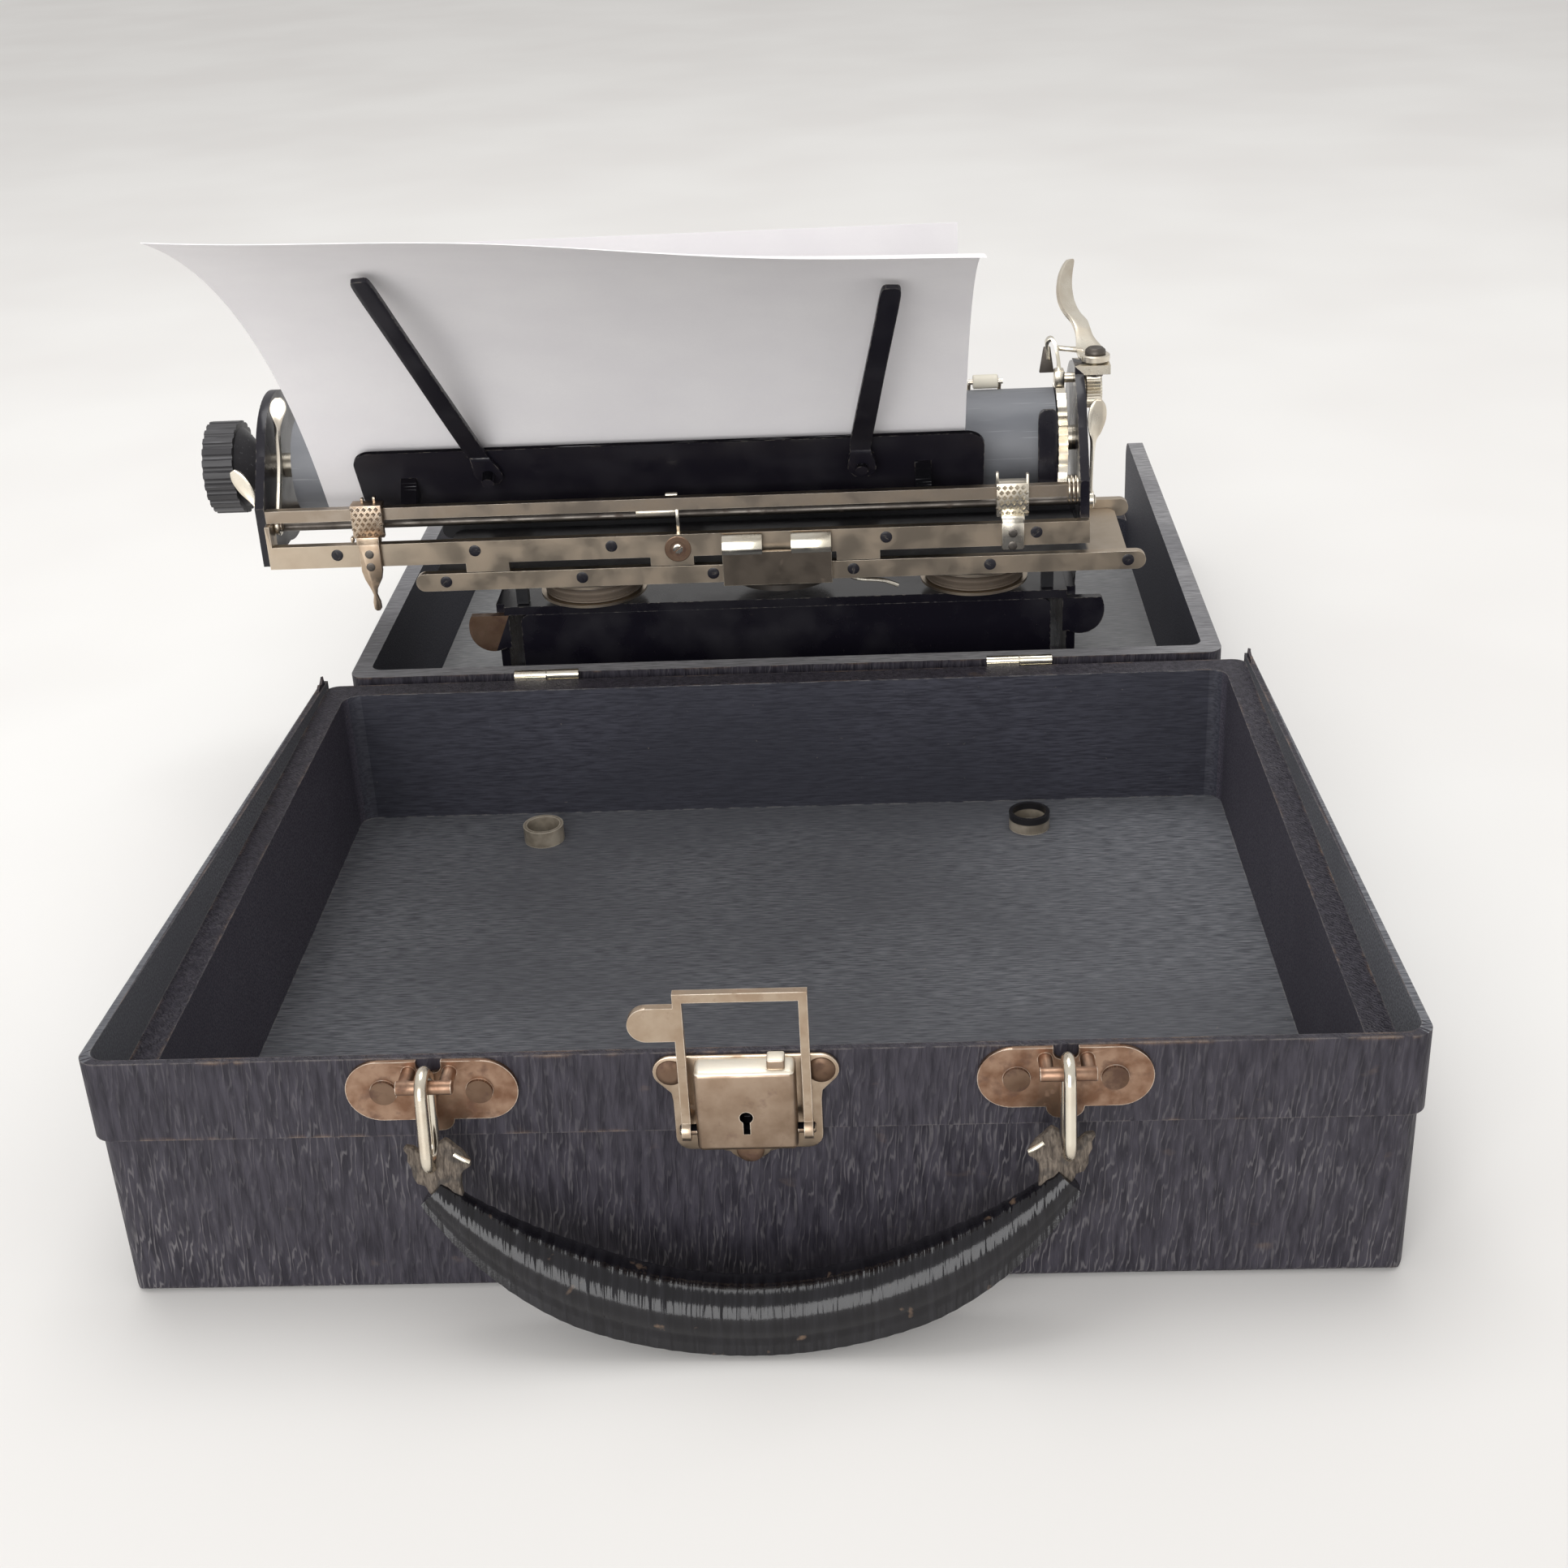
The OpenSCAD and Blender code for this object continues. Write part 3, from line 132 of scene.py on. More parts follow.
class Finish:
    """A procedural finish, laid out in the object's own coordinates."""

    WAVES_PER_UNIT = 1.59

    def __init__(self, name, colour, roughness, **sockets):
        self.material = bpy.data.materials.new(name)
        self.material.use_nodes = True
        self.tree = self.material.node_tree
        self.shader = self.tree.nodes["Principled BSDF"]
        self.shader.inputs["Base Color"].default_value = (*colour, 1)
        self.shader.inputs["Roughness"].default_value = roughness
        for name, value in sockets.items():
            self.shader.inputs[name.replace("_", " ")].default_value = value
        self.place = self.add("ShaderNodeTexCoord").outputs["Object"]
        self.normal = None

    def add(self, kind, **inputs):
        node = self.tree.nodes.new(kind)
        for name, value in inputs.items():
            self.feed(node.inputs[name.replace("_", " ")], value)
        return node

    def feed(self, socket, value):
        if isinstance(value, bpy.types.NodeSocket):
            self.tree.links.new(value, socket)
        else:
            socket.default_value = value

    def scaled(self, size, stretch):
        place = self.add("ShaderNodeMapping", Vector=self.place)
        place.inputs["Scale"].default_value = [1000 / (size * s) for s in stretch]
        return place.outputs["Vector"]

    def noise(self, size, detail=3.0, stretch=(1, 1, 1), wobble=0.0):
        """Noise with features of about size millimetres."""
        node = self.add("ShaderNodeTexNoise", Vector=self.scaled(size, stretch), Scale=1.0,
                        Detail=detail, Distortion=wobble)
        return node.outputs[0]

    def lines(self, period, waver, stretch):
        """Wavering lines about period millimetres apart in X and Y, long in Z."""
        place = self.scaled(self.WAVES_PER_UNIT * period, (1, 1, stretch))
        node = self.add("ShaderNodeTexWave", Vector=place, Scale=1.0, Distortion=waver, Detail=2.0,
                        Detail_Scale=1.6)
        node.bands_direction = "DIAGONAL"
        return node.outputs["Fac"]

    def span(self, value, low, high, start=0.0, end=1.0):
        """start to end as value goes from low to high."""
        node = self.add("ShaderNodeMapRange", Value=value)
        for name, number in (("From Min", low), ("From Max", high), ("To Min", start), ("To Max", end)):
            node.inputs[name].default_value = number
        return node.outputs[0]

    def combine(self, kind, first, second):
        """Two values under one sum, such as ADD."""
        node = self.add("ShaderNodeMath")
        node.operation = kind
        self.feed(node.inputs[0], first)
        self.feed(node.inputs[1], second)
        return node.outputs[0]

    def times(self, *values):
        """The product of several values."""
        total = values[0]
        for value in values[1:]:
            total = self.combine("MULTIPLY", total, value)
        return total

    def mix(self, share, first, second):
        """The colour first, turning into second as share goes to 1."""
        node = self.add("ShaderNodeMix")
        node.data_type = "RGBA"
        self.feed(node.inputs[0], share)
        for socket, value in ((node.inputs[6], first), (node.inputs[7], second)):
            self.feed(socket, (*value, 1) if isinstance(value, tuple) else value)
        return node.outputs[2]

    def edges(self, width):
        """1 along the solid's edges within width millimetres, 0 elsewhere."""
        rounded = self.add("ShaderNodeBevel")
        rounded.samples = 4
        rounded.inputs["Radius"].default_value = width * MM
        across = self.add("ShaderNodeVectorMath")
        across.operation = "DOT_PRODUCT"
        self.feed(across.inputs[0], rounded.outputs[0])
        self.feed(across.inputs[1], self.add("ShaderNodeNewGeometry").outputs["Normal"])
        return self.span(across.outputs["Value"], 0.985, 0.86)

    def along(self, axis):
        """The place along one axis, in metres."""
        return self.add("ShaderNodeSeparateXYZ", Vector=self.place).outputs[axis]

    def relief(self, height, depth, strength=1.0):
        """Bump, depth millimetres deep, on top of any bump laid before."""
        node = self.add("ShaderNodeBump", Height=height, Strength=strength)
        node.inputs["Distance"].default_value = depth * MM
        if self.normal is not None:
            self.feed(node.inputs["Normal"], self.normal)
        self.normal = node.outputs["Normal"]
        self.feed(self.shader.inputs["Normal"], self.normal)
        self.feed(self.shader.inputs["Coat Normal"], self.normal)

    def colour(self, value):
        self.feed(self.shader.inputs["Base Color"], value)

    def gloss(self, value):
        self.feed(self.shader.inputs["Roughness"], value)


def leatherette():
    """Blue-black coated cloth with long wavy grain, its ridges lightened as a painted highlight, and worn
    edges.
    """
    f = Finish("leatherette", (0.02, 0.019, 0.025), 0.5, Specular_IOR_Level=0.32)
    grain = f.lines(1.5, 9.0, 7)
    broken = f.span(f.noise(3.4, 3, (1, 1, 2.4)), 0.38, 0.56)
    # The pale grain ridges are partly the grain's own lines and partly a painted highlight, stronger low
    # down.
    ridge_highlight = f.times(f.span(grain, 0.74, 1.0), broken)
    patch = f.span(f.noise(45, 2, (1, 1, 0.7)), 0.38, 0.64, 0.2, 1.0)
    low = f.span(f.along("Z"), 0.052, 0.03, 0.4, 1.0)
    ridge_highlight_strength = f.times(ridge_highlight, patch, low)
    streak = f.span(f.noise(1.7, 3, (1, 1, 6)), 0.35, 0.65)
    base = f.mix(streak, (0.015, 0.013, 0.02), (0.041, 0.037, 0.049))
    base = f.mix(ridge_highlight_strength, base, (0.125, 0.117, 0.124))
    scuff = f.span(f.noise(9, 4, (1, 1, 0.6)), 0.68, 0.8)
    base = f.mix(f.times(scuff, 0.4), base, (0.12, 0.085, 0.065))
    rub = f.times(f.edges(1.6), f.span(f.noise(16, 3), 0.5, 0.62), f.span(f.noise(2.5, 4), 0.35, 0.6))
    base = f.mix(rub, base, (0.17, 0.11, 0.075))
    worn = f.times(f.edges(0.6), f.span(f.noise(2.5, 4), 0.35, 0.56))
    f.colour(f.mix(f.times(worn, 0.5), base, (0.24, 0.215, 0.2)))
    f.gloss(f.span(ridge_highlight_strength, 0, 1, 0.56, 0.42))
    f.relief(grain, 0.22, 0.5)
    f.relief(f.noise(0.35, 2), 0.05, 0.4)
    return f.material


def lining(name, dark, pale, shade):
    """Lining cloth with fibres brushed along X, rubbed in patches."""
    f = Finish(name, dark, 0.68)
    fibre = f.noise(0.55, 3, (10, 1, 1), 0.3)
    patch = f.noise(60, 3, (1.6, 1, 1))
    base = f.mix(f.span(fibre, 0.34, 0.68), dark, pale)
    base = f.mix(f.span(patch, 0.62, 0.4, 0.0, 0.6), base, shade)
    fleck = f.span(f.noise(1.6, 2), 0.73, 0.8)
    base = f.mix(f.times(fleck, 0.4), base, (0.24, 0.21, 0.18))
    worn = f.times(f.edges(0.8), f.span(f.noise(3, 4), 0.42, 0.6))
    f.colour(f.mix(f.times(worn, 0.7), base, (0.28, 0.27, 0.26)))
    f.gloss(f.span(fibre, 0.3, 0.7, 0.78, 0.56))
    f.relief(fibre, 0.15, 0.5)
    return f.material


def nickel(name, bright, dull, rust, rust_share, roughness, rim=None, clouds=9.0):
    """Old nickel with tarnish and rust, its edges bright if a rim is given."""
    f = Finish(name, bright, roughness, Metallic=1.0)
    cloud = f.span(f.noise(clouds, 4), 0.38, 0.64)
    base = f.mix(cloud, bright, dull)
    spots = f.span(f.noise(3.2, 3), 0.7 - rust_share, 0.86 - rust_share)
    base = f.mix(f.times(spots, 0.7), base, rust)
    if rim is not None:
        base = f.mix(f.times(f.edges(0.35), f.span(f.noise(4, 3), 0.3, 0.5)), base, rim)
    f.colour(base)
    f.gloss(f.combine("ADD", f.span(cloud, 0, 1, roughness - 0.06, roughness + 0.08),
                  f.span(spots, 0, 1, 0, 0.22)))
    f.feed(f.shader.inputs["Metallic"], f.span(spots, 0, 1, 1.0, 0.55))
    f.relief(spots, 0.04, 0.25)
    return f.material


def black(name, gloss):
    """Black enamel with fine dust and edges rubbed to grey."""
    f = Finish(name, (0.011, 0.011, 0.014), gloss, Coat_Weight=0.12, Coat_Roughness=0.12,
               Specular_IOR_Level=0.35)
    dust = f.span(f.noise(18, 4), 0.45, 0.75)
    base = f.mix(f.times(dust, 0.4), (0.008, 0.007, 0.012), (0.034, 0.032, 0.038))
    speck = f.span(f.noise(0.8, 3), 0.7, 0.78)
    base = f.mix(f.times(speck, 0.35), base, (0.09, 0.08, 0.07))
    chip = f.times(f.edges(0.5), f.span(f.noise(1.8, 4), 0.5, 0.62))
    f.colour(f.mix(chip, base, (0.2, 0.18, 0.155)))
    f.gloss(f.span(dust, 0, 1, gloss, gloss + 0.2))
    f.relief(f.noise(1.4, 1), 0.03, 0.25)
    return f.material


def rubber(name, dark, pale, roughness, **sockets):
    """Hardened rubber, cloudy and scuffed along its length."""
    f = Finish(name, dark, roughness, **sockets)
    cloud = f.span(f.noise(22, 4, (2.5, 1, 1)), 0.35, 0.68)
    base = f.mix(cloud, dark, pale)
    scratch = f.span(f.noise(0.6, 2, (40, 1, 1)), 0.66, 0.72)
    f.colour(f.mix(f.times(scratch, 0.3), base, (0.4, 0.4, 0.42)))
    f.gloss(f.span(cloud, 0, 1, roughness - 0.08, roughness + 0.1))
    f.relief(f.noise(0.5, 3), 0.03, 0.3)
    return f.material


def leather():
    """Polished black hide with close cross wrinkles and brown scuffs."""
    f = Finish("handle_leather", (0.008, 0.007, 0.009), 0.24, Coat_Weight=0.62, Coat_Roughness=0.15,
               Specular_IOR_Level=0.1)
    wrinkle = f.noise(1.5, 2, (1, 14, 14), 0.4)
    fine = f.noise(0.45, 2)
    base = f.mix(f.span(wrinkle, 0.4, 0.65), (0.003, 0.0025, 0.004), (0.009, 0.0085, 0.011))
    scuff = f.span(f.noise(6, 5), 0.66, 0.73)
    f.colour(f.mix(f.times(scuff, 0.7), base, (0.16, 0.105, 0.07)))
    f.gloss(f.combine("ADD", f.span(fine, 0.3, 0.7, 0.17, 0.26), f.span(scuff, 0, 1, 0, 0.3)))
    f.relief(wrinkle, 0.42, 1.0)
    f.relief(fine, 0.04, 0.3)
    return f.material


def bed():
    """Black enamel that ends in bare nickel at one end of the bed."""
    f = Finish("bed_black", (0.011, 0.011, 0.014), 0.4)
    bare = f.span(f.along("X"), -0.1, -0.101)
    f.colour(f.mix(bare, (0.011, 0.011, 0.014), (0.45, 0.38, 0.3)))
    f.feed(f.shader.inputs["Metallic"], bare)
    f.gloss(f.span(f.noise(6, 3), 0.3, 0.7, 0.35, 0.5))
    return f.material


def cup():
    """Thin old plate; one of the two cups has a dark ring above."""
    f = Finish("cup_nickel", (0.3, 0.26, 0.2), 0.32)
    base = f.mix(f.span(f.noise(5, 3), 0.35, 0.65), (0.2, 0.17, 0.13), (0.36, 0.315, 0.25))
    base = f.mix(f.times(f.edges(0.5), 0.8), base, (0.75, 0.68, 0.56))
    ring = f.times(f.span(f.along("X"), -0.01, -0.02), f.span(f.along("Z"), 0.0082, 0.0085))
    f.colour(f.mix(ring, base, (0.014, 0.013, 0.014)))
    return f.material


def frayed():
    """Worn-through leather with loose fibres."""
    f = Finish("frayed_leather", (0.16, 0.125, 0.1), 0.85)
    fibre = f.noise(0.7, 4, (1, 1, 5), 0.8)
    base = f.mix(f.span(fibre, 0.34, 0.68), (0.045, 0.035, 0.028), (0.16, 0.13, 0.102))
    f.colour(f.mix(f.span(f.noise(4, 3), 0.55, 0.68, 0.0, 0.7), base, (0.03, 0.027, 0.026)))
    f.gloss(f.span(fibre, 0.3, 0.7, 0.95, 0.75))
    f.relief(fibre, 0.3, 0.8)
    return f.material


def paper():
    """White bond paper with faint fibre clouds."""
    f = Finish("paper", (0.88, 0.86, 0.87), 0.85)
    fibre = f.noise(1.1, 4, (1, 1, 1), 0.6)
    cloud = f.noise(28, 3)
    base = f.mix(f.span(cloud, 0.35, 0.7), (0.87, 0.848, 0.862), (0.91, 0.89, 0.897))
    f.colour(f.mix(f.span(fibre, 0.3, 0.72, 0.0, 0.12), base, (0.79, 0.77, 0.795)))
    f.gloss(f.span(fibre, 0.3, 0.7, 0.9, 0.78))
    f.relief(fibre, 0.02, 0.25)
    return f.material


def card():
    """Cream card under a clear cover, yellowed in patches."""
    f = Finish("key_card", (0.72, 0.67, 0.55), 0.32, Coat_Weight=0.8, Coat_Roughness=0.05)
    cloud = f.span(f.noise(5, 4), 0.35, 0.7)
    base = f.mix(cloud, (0.74, 0.69, 0.57), (0.6, 0.53, 0.4))
    speck = f.span(f.noise(0.7, 3), 0.7, 0.78)
    f.colour(f.mix(f.times(speck, 0.35), base, (0.25, 0.19, 0.13)))
    f.relief(f.noise(1.5, 2), 0.02, 0.2)
    return f.material


LEATHERETTE = leatherette()
LINING = lining("lining", (0.06, 0.063, 0.074), (0.19, 0.195, 0.212), (0.08, 0.082, 0.094))
# The lid's walls use the floor's lining darkened as painted shade.
SHADED_WALL_LINING = lining("shaded_wall_lining", (0.027, 0.024, 0.036), (0.085, 0.079, 0.102), (0.035, 0.031, 0.045))
# The lining darkened further as painted shade, for the case's inner walls and the lid's wall by the hinge.
DEEP_SHADE_LINING = lining("deep_shade_lining", (0.02, 0.02, 0.031), (0.055, 0.056, 0.076), (0.024, 0.025, 0.036))
FELT = lining("base_felt", (0.17, 0.172, 0.178), (0.3, 0.3, 0.3), (0.15, 0.15, 0.155))
RIM_CLOTH = lining("worn_rim", (0.16, 0.158, 0.165), (0.34, 0.336, 0.345), (0.11, 0.11, 0.12))
CASE_NICKEL = nickel(
    "case_nickel", (0.38, 0.25, 0.175), (0.21, 0.115, 0.072), (0.11, 0.055, 0.035), 0.14, 0.4,
    (0.9, 0.8, 0.68), 5.0)
LOCK_NICKEL = nickel(
    "lock_nickel", (0.48, 0.38, 0.285), (0.37, 0.275, 0.195), (0.22, 0.14, 0.09), 0.08, 0.34,
    (0.92, 0.84, 0.72), 6.0)
# Darker nickel for the lock box's front: painted shade.
LOCK_FRONT_SHADE = nickel(
    "lock_front_shade", (0.36, 0.27, 0.2), (0.26, 0.185, 0.13), (0.15, 0.09, 0.06), 0.1, 0.36,
    (0.92, 0.84, 0.72), 6.0)
WIRE_NICKEL = nickel("wire_nickel", (0.82, 0.76, 0.64), (0.64, 0.56, 0.45), (0.3, 0.19, 0.12), 0.0, 0.24)
MACHINE_NICKEL = nickel(
    "machine_nickel", (0.53, 0.445, 0.345), (0.46, 0.375, 0.285), (0.2, 0.125, 0.085), -0.3, 0.34,
    (0.8, 0.72, 0.6))
SCALE_NICKEL = nickel(
    "scale_nickel", (0.38, 0.32, 0.26), (0.3, 0.245, 0.19), (0.16, 0.1, 0.07), -0.3, 0.36,
    (0.75, 0.68, 0.58))
BRACKET_NICKEL = nickel(
    "bracket_nickel", (0.21, 0.175, 0.14), (0.15, 0.125, 0.1), (0.13, 0.085, 0.06), 0.02, 0.36,
    (0.7, 0.62, 0.5))
# Pale nickel for the lock box's top: a painted highlight.
LOCK_TOP_HIGHLIGHT = nickel(
    "lock_top_highlight", (0.97, 0.92, 0.81), (0.88, 0.81, 0.68), (0.5, 0.4, 0.28), -0.04, 0.42)
LEVER_NICKEL = nickel("lever_nickel", (0.84, 0.79, 0.68), (0.68, 0.61, 0.5), (0.28, 0.19, 0.13), 0.0, 0.28)
BRIGHT_NICKEL = nickel("bright_nickel", (0.86, 0.82, 0.7), (0.74, 0.68, 0.55), (0.4, 0.3, 0.2), -0.04, 0.2)
DARK_STEEL = nickel("dark_steel", (0.16, 0.145, 0.13), (0.1, 0.088, 0.078), (0.07, 0.04, 0.028), 0.08, 0.45)
RUSTY_NICKEL = nickel(
    "rusty_nickel", (0.21, 0.138, 0.096), (0.135, 0.083, 0.055), (0.08, 0.038, 0.025), 0.2, 0.5)
BLACK = black("japan_black", 0.24)
DULL_BLACK = black("worn_black", 0.42)
# Near-black with almost no reflection: painted shade, for the paper table's front and the key hole.
SHADE_BLACK = rubber("painted_shade_black", (0.003, 0.003, 0.004), (0.006, 0.005, 0.007), 0.8, Specular_IOR_Level=0.03)
KNOB_BLACK = rubber("knob_black", (0.02, 0.019, 0.021), (0.05, 0.048, 0.052), 0.42)
PLATEN_RUBBER = rubber("platen_rubber", (0.115, 0.122, 0.137), (0.2, 0.205, 0.22), 0.5)
FOOT_RUBBER = rubber("foot_rubber", (0.018, 0.018, 0.019), (0.035, 0.034, 0.033), 0.7)
CUP_NICKEL = cup()
BED_BLACK = bed()
PALE_RUBBER = rubber("roller_rubber", (0.62, 0.58, 0.48), (0.75, 0.71, 0.6), 0.5)
LEATHER = leather()
FRAYED = frayed()
PAPER = paper()
CARD = card()
INK = rubber("ink", (0.012, 0.012, 0.014), (0.022, 0.021, 0.022), 0.55)
RIBBON = rubber("ribbon_cloth", (0.13, 0.1, 0.075), (0.26, 0.21, 0.165), 0.7)


def dress(name, *finishes, pick=None):
    """Gives a CAD node its finishes; pick tells which one a face takes."""
    mesh = nodes[name].data
    mesh.materials.clear()
    for finish in finishes:
        mesh.materials.append(finish)
    if pick is None:
        return
    for face in mesh.polygons:
        face.material_index = pick(*(face.center / MM), face.normal)


def soften(name, width):
    """Rounds a CAD node's sharp edges a little."""
    modifiers = nodes[name].modifiers
    weld = modifiers.new("weld", "WELD")
    weld.merge_threshold = WELD_REACH
    bevel = modifiers.new("round_edges", "BEVEL")
    bevel.width = width * MM
    bevel.segments = 2
    bevel.limit_method = "ANGLE"
    bevel.angle_limit = SOFT_ANGLE


def key_place(number):
    """Middle and height of a key's top."""
    bank = number % BANKS
    return (KEY_FIRST[0] + KEY_PITCH * number, KEY_FIRST[1] + BANK_STEP[0] * bank,
            KEY_FIRST[2] + BANK_STEP[1] * bank)


def lid_face(x, y, z, normal):
    """Pale lining on floor and flange; on the walls the lining is darkened as painted shade, darkest at the
    hinge as deeper painted shade.
    """
    inside = abs(x) < LID_INNER_X and LID_INNER_Y[0] < y < LID_INNER_Y[1]
    floor = inside and normal.z > FACING and z < LID_LEDGE_Z
    if floor or z > FLANGE_Z and abs(x) > FLANGE_X and x * normal.x < 0:
        return 1
    # The wall by the hinge takes the darkest lining as painted shade.
    if inside and normal.y > FACING and y < LID_INNER_Y[0] + 6.5:
        return 3
    ledge = normal.z > FACING and z > LID_LEDGE_Z
    # Inner walls take the lining darkened as painted shade.
    return 2 if inside and not ledge else 0


def base_face(x, y, z, normal):
    """Worn cloth on the rim, felt on the floor, lining darkened as painted shade on the inner walls."""
    if normal.z > FACING and z > BASE_RIM_Z:
        return 3
    if abs(x) < BASE_INNER[0] and abs(y) < BASE_INNER[1] and z > BASE_INNER[2]:
        return 2 if normal.z > FACING else 1
    return 0


def key_face(top):
    """Card on the key's cap, steel on its lever."""
    return lambda x, y, z, normal: int(z > top - CAP_DEPTH and y < KEYS_REAR_Y)


def platen_face(x, y, z, normal):
    across = hypot(y - PLATEN[0], z - PLATEN[1])
    if x > KNOB_X:
        return 2
    return int(PLATEN_RUBBER_X[0] < x < PLATEN_RUBBER_X[1] and across > PLATEN_SHAFT_R)


def frame_face(x, y, z, normal):
    """Bare spool posts, and one rear wing rusted."""
    if z > 64.7 and abs(abs(x) - SPOOL[0]) < 4:
        return 1
    return 2 if x > SIDE_PLATE_X - 0.5 and y > 76 else 0


def carriage_face(x, y, z, normal):
    """Black end plates, bright lever stud, dull margin bar."""
    if x < -100.2 and z > 128:
        return 2
    if not END_PLATES_X[0] < x < END_PLATES_X[1]:
        return 1
    return 3 if z > 98.5 else 0


def rail_face(x, y, z, normal):
    """Enamelled bed, dull centre bracket."""
    if y < 100:
        return 2
    return int(abs(x) < 17.6 and y > 107.4)


def table_face(x, y, z, normal):
    """The side towards the sheet's rear is matt and near-black without reflection: painted shade."""
    return int(normal.y > 0.3 and normal.z > -0.3)


def space_face(x, y, z, normal):
    return int(z > 25.9 and y < -80)


def rivet_face(x, y, z, normal):
    """Rusted rivets either side of the ring's bar."""
    return int(abs(abs(abs(x) - HANDLE_X) - RIVET_AWAY) < RIVET_REACH and y > LOCK_FACE + 0.3)


PLAIN_NODES = (
    (BRIGHT_NICKEL, "base_hinge_leaves", "lid_hinge_leaves"), (WIRE_NICKEL, "handle_rings"),
    (CUP_NICKEL, "lid_cups"), (LOCK_NICKEL, "lock_hasp"), (DARK_STEEL, "lever_comb", "mainspring_drum"),
    (MACHINE_NICKEL, "type_basket", "ribbon_spool_left", "ribbon_spool_right"), (BLACK, "fold_arms"),
    (FOOT_RUBBER, "machine_feet"))
for finish, *names in PLAIN_NODES:
    for name in names:
        dress(name, finish)
dress("paper_table", DULL_BLACK, SHADE_BLACK, pick=table_face)
dress("carriage_rails", MACHINE_NICKEL, BRACKET_NICKEL, BED_BLACK, pick=rail_face)
dress("handle_plates", CASE_NICKEL, RUSTY_NICKEL, pick=rivet_face)
dress("case_base", LEATHERETTE, DEEP_SHADE_LINING, FELT, RIM_CLOTH, pick=base_face)
dress("case_lid", LEATHERETTE, LINING, SHADED_WALL_LINING, DEEP_SHADE_LINING, pick=lid_face)
dress("machine_frame", BLACK, MACHINE_NICKEL, RUSTY_NICKEL, pick=frame_face)
dress("carriage_frame", MACHINE_NICKEL, BLACK, LEVER_NICKEL, SCALE_NICKEL, pick=carriage_face)
dress("platen", LEVER_NICKEL, PLATEN_RUBBER, KNOB_BLACK, pick=platen_face)
dress("space_bar", DARK_STEEL, BLACK, pick=space_face)
dress("shift_keys", DARK_STEEL, CARD, pick=key_face(SHIFT_KEY[2]))
for number, letter in enumerate(KEYS):
    dress("key_" + letter, DARK_STEEL, CARD, pick=key_face(key_place(number)[2]))

for name, width in (("case_base", 0.9), ("case_lid", 0.6), ("lock_hasp", 0.3), ("handle_plates", 0.4),
                    ("carriage_rails", 0.3), ("machine_frame", 0.5), ("fold_arms", 0.5),
                    ("carriage_frame", 0.3)):
    soften(name, width)


def clear():
    """Selects nothing."""
    bpy.ops.object.select_all(action="DESELECT")


def choose(piece):
    """Makes a piece the only one selected, and the active one."""
    clear()
    piece.select_set(True)
    bpy.context.view_layer.objects.active = piece
    return piece


def edit_all():
    """Enters edit mode with the whole mesh selected."""
    bpy.ops.object.mode_set(mode="EDIT")
    bpy.ops.mesh.select_all(action="SELECT")


def face_out():
    """Turns every face outwards and leaves edit mode."""
    bpy.ops.mesh.select_all(action="SELECT")
    bpy.ops.mesh.normals_make_consistent(inside=False)
    bpy.ops.object.mode_set(mode="OBJECT")


def settle():
    """Applies the active object's place, turn and size to its mesh."""
    bpy.ops.object.transform_apply(location=True, rotation=True, scale=True)
    return bpy.context.object


def apply_modifier(kind, **settings):
    piece = bpy.context.object
    modifier = piece.modifiers.new(kind.lower(), kind)
    for name, value in settings.items():
        setattr(modifier, name, value)
    bpy.ops.object.modifier_apply(modifier=modifier.name)


def round_edges(width):
    apply_modifier("BEVEL", width=width * MM, segments=2, limit_method="ANGLE", angle_limit=BEVEL_ANGLE)


def reshape(piece, move):
    """Moves each vertex of a mesh; move takes and gives millimetres."""
    for vertex in piece.data.vertices:
        vertex.co = Vector(move(*(vertex.co / MM))) * MM


def fit(piece, name, body, finish, smooth=35):
    """Names a piece, gives it its finish and sets it on its body."""
    choose(piece)
    piece.name = name
    piece.data.name = name
    piece.data.materials.clear()
    piece.data.materials.append(finish)
    bpy.ops.object.mode_set(mode="EDIT")
    face_out()
    bpy.ops.object.shade_smooth_by_angle(angle=radians(smooth))
    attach(piece, body)
    return piece


def join(pieces):
    """Several modelled meshes as one piece."""
    clear()
    for piece in pieces:
        piece.select_set(True)
    bpy.context.view_layer.objects.active = pieces[0]
    if len(pieces) > 1:
        bpy.ops.object.join()
    return bpy.context.object


def copy_at(master, matrix):
    """A copy of a shape, moved to a place."""
    copy = master.copy()
    copy.data = master.data.copy()
    copy.data.transform(matrix)
    bpy.context.scene.collection.objects.link(copy)
    return copy


def cut(piece, cutter):
    """Takes the cutter's shape out of a piece."""
    choose(piece)
    apply_modifier("BOOLEAN", object=cutter, operation="DIFFERENCE", solver="EXACT")
    bpy.data.objects.remove(cutter)
    return piece


def block(low, high, bevel=0.3, segments=2):
    """A bevelled block between two corners, in millimetres."""
    middle = [(a + b) / 2 * MM for a, b in zip(low, high)]
    bpy.ops.mesh.primitive_cube_add(size=1, location=middle)
    piece = bpy.context.object
    piece.scale = [(b - a) * MM for a, b in zip(low, high)]
    settle()
    edit_all()
    bpy.ops.mesh.bevel(offset=bevel * MM, segments=segments, affect="EDGES")
    bpy.ops.object.mode_set(mode="OBJECT")
    return piece


